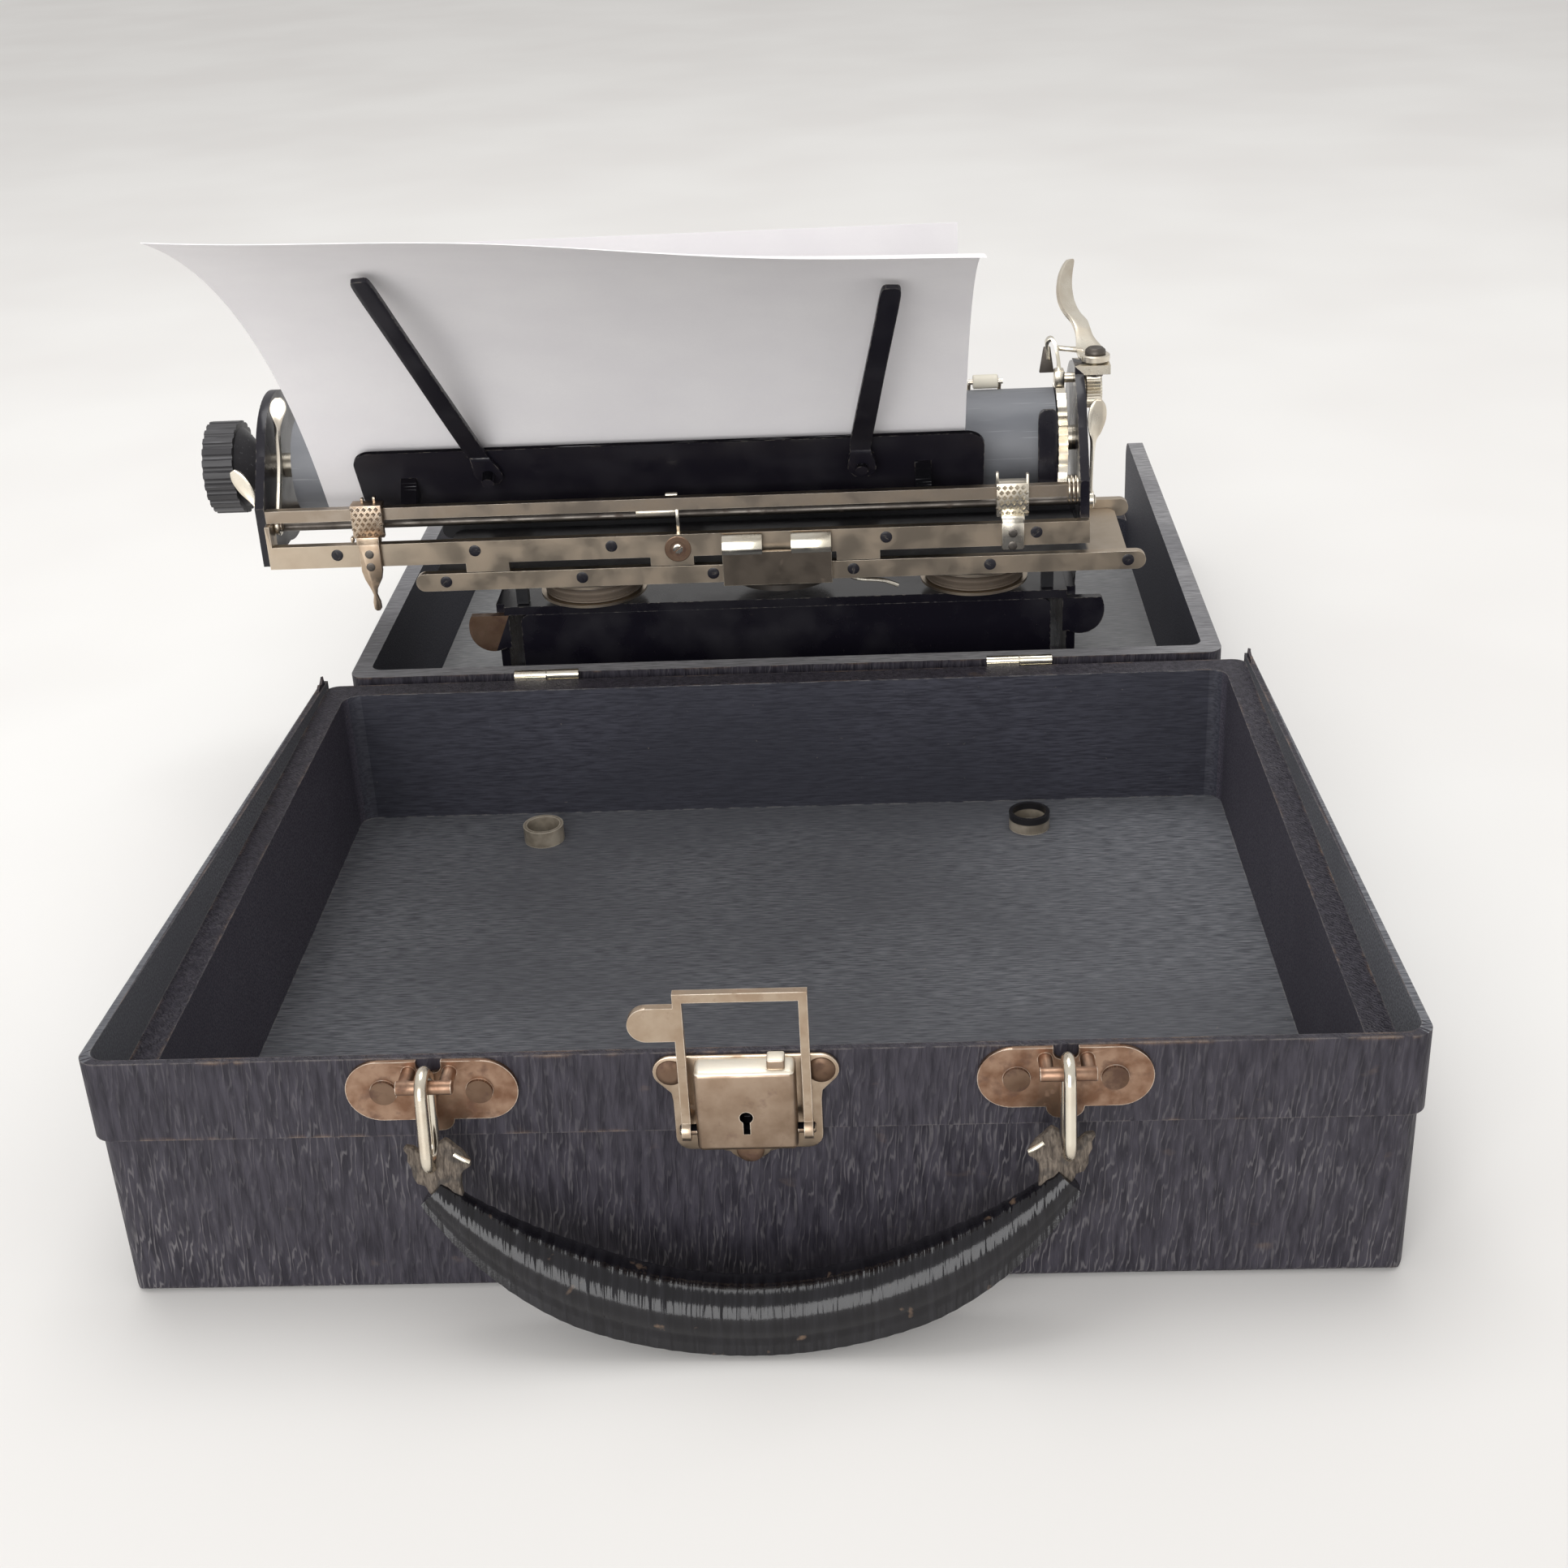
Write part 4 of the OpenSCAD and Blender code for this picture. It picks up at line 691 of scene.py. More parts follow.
def turned(place, direction, profile, sides=20):
    """A turned piece: a profile of (radius, height) pairs spun about its axis."""
    bpy.ops.mesh.primitive_circle_add(vertices=sides, radius=profile[0][0] * MM, fill_type="NGON")
    piece = bpy.context.object
    edit_all()
    radius, height = profile[0]
    bpy.ops.transform.translate(value=(0, 0, height * MM))
    for next_radius, next_height in profile[1:]:
        bpy.ops.mesh.extrude_region_move(
            TRANSFORM_OT_translate={"value": (0, 0, (next_height - height) * MM)})
        grow = next_radius / radius
        bpy.ops.transform.resize(value=(grow, grow, 1))
        radius, height = next_radius, next_height
    face_out()
    piece.rotation_mode = "QUATERNION"
    piece.rotation_quaternion = Vector(ALONG_Z).rotation_difference(Vector(direction))
    piece.location = [v * MM for v in place]
    return settle()


def wire(points, diameter, sides=3):
    """A round wire along smooth points, in millimetres, as a mesh."""
    bpy.ops.curve.primitive_nurbs_path_add()
    piece = bpy.context.object
    curve = piece.data
    curve.splines.clear()
    line = curve.splines.new("NURBS")
    line.points.add(len(points) - 1)
    for point, place in zip(line.points, points):
        point.co = (*[v * MM for v in place], 1)
    line.order_u = 3
    line.use_endpoint_u = True
    line.resolution_u = 6
    curve.dimensions = "3D"
    curve.bevel_depth = diameter / 2 * MM
    curve.bevel_resolution = sides
    curve.use_fill_caps = True
    bpy.ops.object.convert(target="MESH")
    return bpy.context.object


def between(stations, at):
    """A smooth value at a place along evenly numbered stations."""
    last = len(stations) - 1
    first = min(int(at), last - 1)
    t = at - first
    a, b, c, d = [Vector(stations[min(max(first + k, 0), last)]) for k in (-1, 0, 1, 2)]
    return 0.5 * (2 * b + (c - a) * t + (2 * a - 5 * b + 4 * c - d) * t * t
                  + (3 * b - a - 3 * c + d) * t * t * t)


def strap(stations, thickness, across=4, steps=6):
    """A bent strap along stations of middle and half width; zeros at a station's end are left out."""
    stations = [(*station, 0, 0)[:6] for station in stations]
    last = len(stations) - 1
    bpy.ops.mesh.primitive_grid_add(x_subdivisions=across, y_subdivisions=steps * last, size=1)
    piece = bpy.context.object

    def lay(x, y, z):
        place = between(stations, (y * MM + 0.5) * last)
        return Vector(place[:3]) + Vector(place[3:]) * (2 * x * MM)

    reshape(piece, lay)
    apply_modifier("SOLIDIFY", thickness=thickness * MM, offset=0)
    round_edges(0.25 * thickness)
    return piece


def cut_plate(outline, low, high, bevel=0.3):
    """A plate of an outline of (X, Z) points between two levels of Y."""
    bpy.ops.mesh.primitive_circle_add(vertices=len(outline), radius=1, fill_type="NGON")
    piece = bpy.context.object
    for vertex, (x, z) in zip(piece.data.vertices, outline):
        vertex.co = Vector((x, low, z)) * MM
    edit_all()
    bpy.ops.mesh.extrude_region_move(TRANSFORM_OT_translate={"value": (0, (high - low) * MM, 0)})
    face_out()
    round_edges(bevel)
    return piece


def arc(x, z, radius, start, end, count):
    """Points on an arc, angles in degrees."""
    angles = [radians(start + (end - start) * i / count) for i in range(count + 1)]
    return [(x + radius * cos(a), z + radius * sin(a)) for a in angles]


def mirrored(half):
    """An outline from its half at X above 0, listed from top to bottom."""
    return half + [(-x, z) for x, z in reversed(half)]


def sheet_column(x):
    """Places (Y, Z) and heading along the sheet, a millimetre apart."""
    wrap = SHEET_R * radians(90 + SHEET_LEAVE)
    back = SHEET_SIZE[1] - SHEET_FRONT - wrap
    y, z = PLATEN[0] - SHEET_R, PLATEN[1] + SHEET_FRONT
    droop = SHEET_DROOP * (SHEET_LOW + SHEET_SIZE[0] - x) / SHEET_SIZE[0]
    line = []
    for step in range(int(SHEET_SIZE[1]) + 1):
        far = step - SHEET_FRONT - wrap
        if step < SHEET_FRONT:
            heading = -90.0
        elif far < 0:
            heading = degrees((step - SHEET_FRONT) / SHEET_R) - 90
        else:
            share = far / back
            heading = SHEET_LEAVE - (SHEET_LEAVE - SHEET_END) * share - droop * share * share
        angle = radians(heading)
        line.append((y, z, angle))
        y += cos(angle)
        z += sin(angle)
    return line


def sheet_part(name, start, end, rows):
    """The loaded sheet from start to end millimetres along its length."""
    bpy.ops.mesh.primitive_grid_add(x_subdivisions=SHEET_COLUMNS, y_subdivisions=rows, size=1)
    piece = bpy.context.object
    columns = {}

    def lay(x, y, z):
        side = x * MM
        across = SHEET_LOW + (side + 0.5) * SHEET_SIZE[0]
        key = round(across, 3)
        if key not in columns:
            columns[key] = sheet_column(across)
        distance = min(start + (y * MM + 0.5) * (end - start), SHEET_SIZE[1] - 0.001)
        step = int(distance)
        share = distance - step
        py, pz, angle = columns[key][step]
        far = max(0.0, (distance - WAVE_START) / (SHEET_SIZE[1] - WAVE_START))
        lift = WAVE_HEIGHT * sin(side * 9 + 0.6) * far ** 2
        return (across, py + share * cos(angle) - lift * sin(angle),
                pz + share * sin(angle) + lift * cos(angle))

    reshape(piece, lay)
    apply_modifier("SOLIDIFY", thickness=SHEET_THICK * MM, offset=0)
    fit(piece, name, "carriage", PAPER, 60)
    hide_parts("paper_sheet")
    return piece


def make_paper():
    """One sheet in two parts, the rear part given a copy of its mesh."""
    seam = int(SHEET_FRONT + SHEET_R * radians(90 + SHEET_LEAVE)) + SHEET_SEAM
    sheet_part("loaded_paper", 0, seam, SHEET_ROWS[0])
    rear = sheet_part("loaded_paper_rear", seam, SHEET_SIZE[1], SHEET_ROWS[1])
    anchor = sheet_column(SHEET_LOW)[seam]
    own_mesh(rear)


def hang_handle(piece):
    """Turns a shape drawn hanging below the origin into the leaning handle."""
    choose(piece)
    piece.rotation_mode = "XYZ"
    piece.rotation_euler = (radians(HANDLE_LEAN), 0, 0)
    piece.location = (0, HANDLE_PIVOT[0] * MM, HANDLE_PIVOT[1] * MM)
    return settle()


def make_grip():
    """The sagging leather grip, tapered to its ends, with a sewn seam."""
    sag = GRIP_DROP - GRIP_END
    radius = (HANDLE_X ** 2 + sag ** 2) / (2 * sag)
    half = asin(HANDLE_X / radius)
    centre_z = radius - GRIP_DROP
    bpy.ops.mesh.primitive_circle_add(vertices=48, radius=(GRIP_R + 0.1) * MM, rotation=(0, pi / 2, 0))
    piece = bpy.context.object
    settle()
    edit_all()
    bpy.ops.transform.translate(value=(0, 0, (centre_z - radius) * MM))
    bpy.ops.mesh.spin(steps=92, angle=2 * half, center=(0, 0, centre_z * MM), axis=ALONG_Y)
    bpy.ops.mesh.select_all(action="DESELECT")
    bpy.ops.mesh.select_non_manifold()
    bpy.ops.mesh.fill_holes(sides=0)
    bpy.ops.object.mode_set(mode="OBJECT")
    angles = [atan2(v.co.x / MM, centre_z - v.co.z / MM) for v in piece.data.vertices]
    shift = -(max(angles) + min(angles)) / 2

    def shape(x, y, z):
        away = hypot(x, centre_z - z)
        angle = atan2(x, centre_z - z) + shift
        share = min(1.0, abs(angle) / half)
        out = away - radius
        size = 1.0 - 0.58 * max(0.0, (share - 0.45) / 0.55) ** 1.5
        turn = atan2(out, y)
        seam = exp(-((turn - radians(GRIP_SEAM_TURN)) / 0.15) ** 2)
        ripple = 0.16 * sin(angle * 150) * (0.4 + 0.6 * max(0.0, -sin(turn)))
        reach = (GRIP_R + GRIP_SEAM * seam) * size + ripple
        level = hypot(out, y)
        out, y = (out / level * reach, y / level * reach) if level > 0.1 else (out, y)
        away = radius + out
        return away * sin(angle), y, centre_z - away * cos(angle)

    reshape(piece, shape)
    hang_handle(piece)
    fit(piece, "leather_grip", "handle", LEATHER, 50)
    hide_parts("handle_grip")


def make_grip_ends():
    """The frayed ends that hold the rings, each with a staple."""
    ragged = [
        (-5.9, 6.0), (-5.2, 6.4), (-3.6, 6.1), (-1.8, 4.6), (-1.3, 2.6), (1.3, 2.6), (2.0, 6.9), (3.6, 8.0),
        (4.4, 7.5), (5.9, 6.0), (7.2, 4.9), (8.7, 2.7), (9.1, 1.6), (7.4, 0.5), (6.6, -0.6), (6.4, -3.0),
        (6.9, -7.5), (4.0, -9.5), (0.2, -7.0), (-1.6, -3.2), (-3.3, -2.6), (-4.2, -0.8), (-4.3, 1.2),
        (-5.1, 2.8), (-5.0, 4.5)]
    ends = []
    staples = []
    for side in (-1, 1):
        outline = [(side * (HANDLE_X - u), w - RING_LOW) for u, w in ragged]
        ends.append(cut_plate(outline, -1.15, 1.15, 0.4))
        staples.append(wire([(side * (HANDLE_X - 5.6), 1.1, 4.6 - RING_LOW),
                             (side * (HANDLE_X - 7.2), 1.5, 3.6 - RING_LOW),
                             (side * (HANDLE_X - 8.8), 1.1, 2.6 - RING_LOW)], 1.1))
    fit(hang_handle(join(ends)), "grip_ends", "handle", FRAYED, 50)
    fit(hang_handle(join(staples)), "grip_staples", "handle", BRIGHT_NICKEL)


def make_lock():
    """Lock plate, box with key hole, button, hasp pin and rivets."""
    wide, deep = LOCK_BOX
    half = [(0, LOCK_TOP)] + arc(LOCK_EAR_X, LOCK_TOP - 4, 4, 90, -52, 10) + [(16.9, LOCK_TOP - 9.6)]
    half += [(16.6, LOCK_TOP - 12)] + arc(13.1, LOCK_LOW + 3.5, 3.5, 0, -90, 6)
    half += [(5.0, LOCK_LOW), (4.2, LOCK_LOW - 1.4), (2.8, LOCK_LOW - 2.5), (0.9, LOCK_LOW - 3)]
    plate = cut_plate(mirrored(half)[1:], LID_FACE, LOCK_FACE)
    low = [(15, LOCK_BOX_LOW + 0.3), (15.4, LOCK_LOW + 2), (13, LOCK_LOW + 0.8), (3, LOCK_LOW - 1.8)]
    back = cut_plate(mirrored(low), LID_FACE - 1.2, LID_FACE + 0.3, 0.1)
    box = block((-wide, LOCK_FACE - 0.5, LOCK_BOX_LOW), (wide, LOCK_FACE + deep, LOCK_TOP - 0.2), 1.25, 3)
    hole = LOCK_BOX_LOW + KEY_HOLE_UP
    box = cut(box, turned((0, LOCK_FACE + 3, hole), ALONG_Y, [(1.5, 0), (1.5, 6)], 24))
    box = cut(box, block((-0.75, LOCK_FACE + 3, hole - 4.4), (0.75, LOCK_FACE + 9, hole), 0.1))
    button = block((-9, LOCK_FACE + 1.3, LOCK_TOP - 1.5), (-5, LOCK_FACE + 5.3, LOCK_TOP + 2.2), 0.55, 3)
    pin = turned((-15.2, LOCK_FACE + 3.4, LOCK_BOX_LOW + 4), ALONG_X,
                 [(0.9, 0), (1.2, 0.3), (1.2, 30.1), (0.9, 30.4)])
    lock = fit(join([plate, back, box, button, pin]), "lock", "lid", LOCK_NICKEL)
    for finish in (LOCK_FRONT_SHADE, LOCK_TOP_HIGHLIGHT, SHADE_BLACK):
        lock.data.materials.append(finish)
    for face in lock.data.polygons:
        x, y, z = face.center / MM
        # The box's front takes nickel darkened as painted shade and its top pale nickel as a painted
        # highlight.
        if y > LOCK_FACE + 0.4 and abs(x) < wide + 0.1:
            face.material_index = 2 if face.normal.z > 0.5 else 1
            # The key hole's walls and floor are painted near-black as shade.
            if abs(x) < 1.7 and abs(z - hole + 1.5) < 3.2 and y < LOCK_FACE + deep - 0.1:
                face.material_index = 3
    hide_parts("lock_plate")
    dome = [(3.2, -0.2), (3.15, 0.35), (2.7, 0.7), (1.6, 0.85), (0.4, 0.88)]
    rivets = [turned((x, LOCK_FACE, z), ALONG_Y, dome, 24)
              for x, z in ((-LOCK_EAR_X, LOCK_TOP - 4), (LOCK_EAR_X, LOCK_TOP - 4), (0, LOCK_LOW - 0.2))]
    fit(join(rivets), "lock_rivets", "lid", RUSTY_NICKEL)


def make_line_lever():
    """The line lever: hub, side arm and a curved finger."""
    x, y = LEVER_PIVOT
    finger = strap([
        (-103.4, y + 2.5, 138.4, 3.4), (-103.2, y - 1, 138.6, 4.4), (-102.6, 67, 139.4, 4.2, 0.1),
        (-101.7, 61, 141.3, 2.9, 0.2), (-101.4, 56, 143, 2.5, 0.4, 0.1),
        (-100.6, 52, 144.7, 2.6, 0.8, 0.4), (-98.6, 49, 146.7, 2.5, 1.4, 0.6),
        (-97.1, 46.6, 149.3, 2.4, 2.0, 0.3), (-96.5, 44, 152.2, 2.4, 2.3),
        (-96.6, 41.2, 155.1, 2.3, 2.4), (-97.3, 38.4, 158, 2.1, 2.2), (-98.4, 36, 160.4, 1.5, 1.5),
        (-98.9, 35.2, 161.3, 0.6, 0.6)], 1.5)
    hub = turned((x, y, 137.35), ALONG_Z, [(4.3, 0), (4.7, 0.3), (4.7, 1.9), (4.3, 2.3)], 28)
    arm = strap([
        (-100.4, 68, 139.5, 0, 1.7), (-97, 67, 139.6, 0, 1.2), (-94.4, 66.4, 139.8, 0, 1.1),
        (-92.4, 66, 140, 0, 1.0)], 1.3)
    lever = fit(join([finger, hub, arm]), "line_lever", "return_lever", LEVER_NICKEL)
    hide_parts("return_lever")
    head = turned((x, y, 139.75), ALONG_Z, [(3.3, 0), (3.4, 0.4), (3.2, 1.2), (2.4, 1.9), (0.6, 2.1)], 24)
    head = cut(head, block((x - 5, y - 0.35, 141.0), (x + 5, y + 0.35, 143), 0.05))
    nut = turned((x, y, 132.4), ALONG_Z, [(2.5, 0), (2.8, 0.3), (2.8, 1.9), (2.5, 2.2)], 6)
    fit(join([head, nut]), "line_lever_screw", "carriage", DARK_STEEL)


def make_line_pawl():
    """Line pawl at the ratchet: hoop, weight and guide."""
    hoop = strap([
        (-89.4, 65.8, 136.5, 0, 1.5), (-89.2, 65.8, 139.5, 0, 1.6), (-89.0, 66, 142, 0, 1.6),
        (-90.3, 66.3, 143.2, 0, 1.6), (-91.6, 67, 141.6, 0, 1.6), (-92.2, 68.6, 138.6, 0, 1.5),
        (-92.5, 70.4, 135.8, 0, 1.5), (-92.5, 71.4, 133.6, 0, 1.5)], 1.1)
    fit(hoop, "line_pawl_hoop", "carriage", BRIGHT_NICKEL)
    weight = cut_plate([(-88.0, 140.2), (-90.2, 140.2), (-91.4, 131.7), (-86.6, 131.7)], 64.4, 65.7)
    fit(weight, "line_pawl_weight", "carriage", DARK_STEEL)
    guide = block((-94.2, 69, 129.3), (-90.9, 74, 134.4), 0.6)
    post = turned((-97.4, 71.5, 131.6), ALONG_X, [(1.6, 0), (1.6, 4)], 16)
    fit(join([guide, post]), "line_pawl_guide", "carriage", LEVER_NICKEL)


def make_carriage_release():
    """Release rod with a leaf-shaped thumb piece at each end."""
    y, z = RELEASE_ROD
    rod = turned((-103, y, z), ALONG_X, [(1.2, 0), (1.5, 0.3), (1.5, 273.7), (1.2, 274)], 16)
    right, left = [strap([(x, y, z + up, *half) for x, up, *half in leaf], 1.1) for leaf in (
        [(169.3, -2.2, 0, 1.8), (169.3, 2, 0, 1.6), (169.7, 6, 0.4, 1.0, -0.2), (171.0, 9.4, 1.2, 0.4, -0.6),
         (173.1, 13.4, 2.1, 0.1, -1.15), (175.2, 17.3, 2.0, 0, -1.1), (176.6, 19.7, 0.8, 0, -0.45)],
        [(-101.3, -2.2, 0, 1.8), (-101.3, 4, 0, 1.5), (-101.6, 13, 0.3, 1.3), (-101.9, 19.4, 0.7, 1.0),
         (-102.4, 22.6, 2.0, 0.5), (-102.9, 26.8, 2.9, 0.2), (-103.2, 30.8, 2.5, 0.1),
         (-103.3, 33, 1.1, 0)])]
    collars = [turned((x, y, z), ALONG_X, [(2.6, 0), (3.0, 0.3), (3.0, 1.6), (2.6, 1.9)], 20)
               for x in (-102.3, 168.4)]
    piece = join([rod, right, left] + collars)
    fit(piece, "carriage_release_leaves", "carriage_release", LEVER_NICKEL)
    piece.data.materials.append(DARK_STEEL)
    for face in piece.data.polygons:
        face.material_index = 1 if -99 * MM < face.center.x < 166 * MM else 0
    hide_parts("carriage_release")


def make_paper_release():
    """Paper release: eye, slim stem and leaf-shaped thumb piece."""
    stem = strap([
        (162.5, *PAPER_RELEASE, 0, 2.2, 0.6), (162.4, 95.4, 104, 0, 1.5, 0.6),
        (161.9, 92, 111, 0, 1.4, 0.6), (161.7, 88.2, 118, 0, 1.3, 0.6),
        (162.2, 84.6, 124, 0.1, 1.0, 0.5), (162.4, 82.3, 127.4, 0.5, 0.7, 0.3),
        (162.3, 80.8, 130, 1.5, 0.4, 0.2), (162.0, 79.8, 132.8, 2.6, 0.2, 0.1),
        (161.7, 79.3, 135.3, 2.2, 0.1, 0.1), (161.6, 79.1, 136.7, 0.9)], 1.2)
    eye = turned((161.75, *PAPER_RELEASE), ALONG_X, [(2.9, 0), (3.2, 0.3), (3.2, 1.2), (2.9, 1.5)], 24)
    piece = fit(join([stem, eye]), "paper_release_leaf", "paper_release", LEVER_NICKEL)
    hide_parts("paper_release")


def knurl(x_low, x_high, z_low, z_high, y, columns, rows):
    """Rows of pointed studs on a finger pad that faces +Y."""
    bpy.ops.mesh.primitive_cone_add(vertices=4, radius1=0.95 * MM, radius2=0.12 * MM, depth=0.85 * MM,
                                    rotation=(-pi / 2, 0, 0))
    stud = settle()
    studs = []
    for row in range(rows):
        shift = 0.25 if row % 2 else -0.25
        for column in range(columns):
            x = x_low + (x_high - x_low) * (column + 0.5 + shift) / columns
            z = z_low + (z_high - z_low) * (row + 0.5) / rows
            studs.append(copy_at(stud, Matrix.Translation(Vector((x, y + 0.35, z)) * MM)))
    bpy.data.objects.remove(stud)
    return studs


def make_margin_stop(side, x, tail, prongs, finish):
    """A margin stop: knurled pad hooked over its bar, and a tail."""
    body = "margin_stop_" + side
    low, high = x - STOP_HALF, x + STOP_HALF
    pad = block((low, 103.25, 96.8), (high, STOP_PAD_FACE, 107.8), 0.35)
    hook = block((low, 100.1, 106.35), (high, 104, 107.85))
    step = block((x - 3.7, 103.4, 95.2), (x + 3.7, STOP_TAIL[1], 97.9))
    plate = cut_plate([(x + u, z) for u, z in tail], *STOP_TAIL)
    parts = [pad, hook, step, plate] + knurl(low + 0.2, high - 0.2, 97.3, 107.3, STOP_PAD_FACE, 5, 6)
    for u, z_low, z_high, y_low, y_high in prongs:
        parts.append(block((x + u - 0.45, y_low, z_low), (x + u + 0.45, y_high, z_high), 0.2))
    piece = fit(join(parts), "knurled_stop_" + side, body, finish, 30)
    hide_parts(body)
    places = [(x, STOP_TAIL[1], 92.2), (x + 0.1, STOP_TAIL[1], 87.9)]
    screws("stop_screws_" + side, body, places, ALONG_Y, DARK_STEEL, 0.75, 0.2)


def make_paper_arms():
    """The two flat arms behind the sheet, bent at the table's edge."""
    right = strap([
        (91.5, 94.9, 110.7, 2.2), (91.7, 96.1, 112.8, 4.1), (92, 97.1, 114.5, 4.5),
        (92.5, 98.6, 117.1, 4.1), (93.4, 100.4, 120.2, 3.3), (94.6, 102.5, 123.6, 3.2, -0.2, -0.2),
        (97.2, 122.3, 141.9, 3.1, -0.2, -0.2), (99.8, 142.5, 160.6, 2.9, -0.2, -0.2),
        (102.4, 162.7, 179.3, 2.8, -0.2, -0.2), (104.6, 180.3, 195.5, 2.7, -0.2, -0.2),
        (105, 183, 198, 1.7, -0.1, -0.1)], 1.4)
    left = strap([
        (-28, 96.8, 109.6, 2.2), (-28, 98, 111.7, 4.1), (-28, 99, 113.4, 4.5), (-27.9, 100.5, 116, 4.1),
        (-27.8, 102.2, 119, 3.3), (-27.8, 104.3, 122.4, 3.3, 0.3, 0.3),
        (-30.3, 121, 138.6, 3.2, 0.3, 0.3), (-32.9, 138, 155, 3.0, 0.3, 0.3),
        (-35.6, 155, 171.5, 2.9, 0.3, 0.3), (-37.8, 169.4, 185.5, 2.8, 0.3, 0.3),
        (-38.2, 172, 188, 1.7, 0.1, 0.1)], 1.4)
    for piece, side in ((left, "left"), (right, "right")):
        fit(piece, "rest_arm_" + side, "paper_arm_" + side, DULL_BLACK)
        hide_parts("paper_arm_" + side)


def make_torn_cloth():
    """Torn covering at the hinge ends of the lid's flange."""
    bits = []
    for x in (-TEAR_X, TEAR_X):
        bits.append(strap([
            (x, 117.2, 50.4, 0, 0.2, 1.0), (x * 1.001, 118.2, 52.6, 0, 0.8, 1.6),
            (x * 0.998, 120, 53.2, 0, 0.4, 1.9), (x, 122, 52.3, 0, 0.3, 1.0),
            (x * 0.999, 124.4, 52.7, 0, 0.3, 1.4), (x, 127, 51.8, 0, 0.2, 0.6)], 0.8, 3, 4))
    fit(join(bits), "torn_cloth", "lid", LEATHERETTE, 20)


def make_margin_stops():
    tapered = [(-3.5, 97.2), (3.3, 97.2), (3.3, 86.4), (2.6, 83.6), (1.2, 80.3), (0.5, 78.2), (1.0, 75.6),
               (0.9, 73.3), (0.2, 72.6), (-0.9, 72.7), (-1.5, 73.4), (-1.4, 75.6), (-0.6, 78.2), (-0.9, 80),
               (-2.9, 83.6), (-3.5, 86.4)]
    prongs = [(-2.4, 107.5, 109.6, 100.6, 102.4), (1.6, 107.5, 109.2, 100.6, 102.4),
              (5.6, 95.4, 97.2, 103.3, 105.6)]
    make_margin_stop("right", 131.5, tapered, prongs, LOCK_NICKEL)
    square = [(-3.6, 97.2), (3.6, 97.2), (3.6, 87.2), (3.0, 86.6), (-3.0, 86.6), (-3.6, 87.2)]
    prongs = [(-4.75, 98.6, 110.7, 103.1, 105.4), (4.75, 107, 111.4, 103.1, 105.2)]
    make_margin_stop("left", -75.4, square, prongs, LEVER_NICKEL)


def make_carriage_fittings():
    """Small fixed pieces of the carriage."""
    guide = strap([(-87.8, y, z, half) for y, z, half in (
        (88.2, 126.3, 1.5), (88.2, 125.2, 2.7), (88.2, 122, 3.1), (88.3, 114, 3.1), (88.6, 105, 3.1),
        (89.3, 99.5, 3.1), (90.6, 95.6, 3.1))], 1.2)
    fit(guide, "guide_strip", "carriage", BLACK)
    washer = [(3.6, 0), (4.3, 0.12), (4.3, 0.55), (3.6, 0.68)]
    washers = [turned((x, 101.5, 104), (-1, 0, 0), washer, 28) for x in (-93, -94.3, -95.6)]
    fit(join(washers), "bar_washers", "carriage", WIRE_NICKEL)
    nut_y, nut_z = LINE_NUT
    nut = turned((-100, nut_y, nut_z), (-1, 0, 0),
                 [(5.0, 0.6), (5.8, 0.9), (6.1, 1.3), (6.1, 5.6), (5.5, 6.2), (1.2, 6.5)], 72)

    def flute(x, y, z):
        away = hypot(y - nut_y, z - nut_z)
        if away < 5.7 or not -106 < x < -100.8:
            return x, y, z
        depth = 1 - 0.07 * (0.5 + 0.5 * cos(atan2(z - nut_z, y - nut_y) * 36))
        return x, nut_y + (y - nut_y) * depth, nut_z + (z - nut_z) * depth

    reshape(nut, flute)
    fit(nut, "knurled_nut", "carriage", LEVER_NICKEL, 20)
    roller = turned((-73.2, *ROLLER), ALONG_X, [(1.9, 0), (2.3, 0.25), (2.3, 8), (1.9, 8.25)], 24)
    fit(roller, "paper_roller", "carriage", PALE_RUBBER)
    bend = [ROLLER, (57, 127.5), (50.4, 119), (48.6, 108), (51.5, 97), (54.5, 91.5)]
    yoke = [wire([(x, *place) for place in bend], 1.3) for x in (-74.2, -64.1)]
    axle = turned((-74.8, *ROLLER), ALONG_X, [(0.9, 0), (0.9, 11.3)], 12)
    fit(join(yoke + [axle]), "roller_yoke", "carriage", WIRE_NICKEL)
    disc = [(4.1, -0.3), (4.3, -0.1), (4.3, 0.14), (4.1, 0.22), (2.5, 0.22), (2.35, 0.12), (0.4, 0.12)]
    wheel = turned(RAIL_WHEEL, ALONG_Y, disc, 32)
    fit(wheel, "rail_wheel", "carriage", RUSTY_NICKEL, 15)
    prop = block((31.1, 102, 94.5), (32.2, 103.1, 102.2), 0.2)
    foot = block((31.6, 101.4, 100.2), (45, 102.8, 101.9), 0.2)
    pin = turned((31.5, 98.6, 105.6), ALONG_X, [(0.8, 0), (0.95, 0.2), (0.95, 3.8), (0.8, 4)], 16)
    lug = block((32.2, 97.9, 101.5), (34.8, 100.4, 105.4))
    fit(join([prop, foot, pin, lug]), "bar_props", "carriage", LEVER_NICKEL)


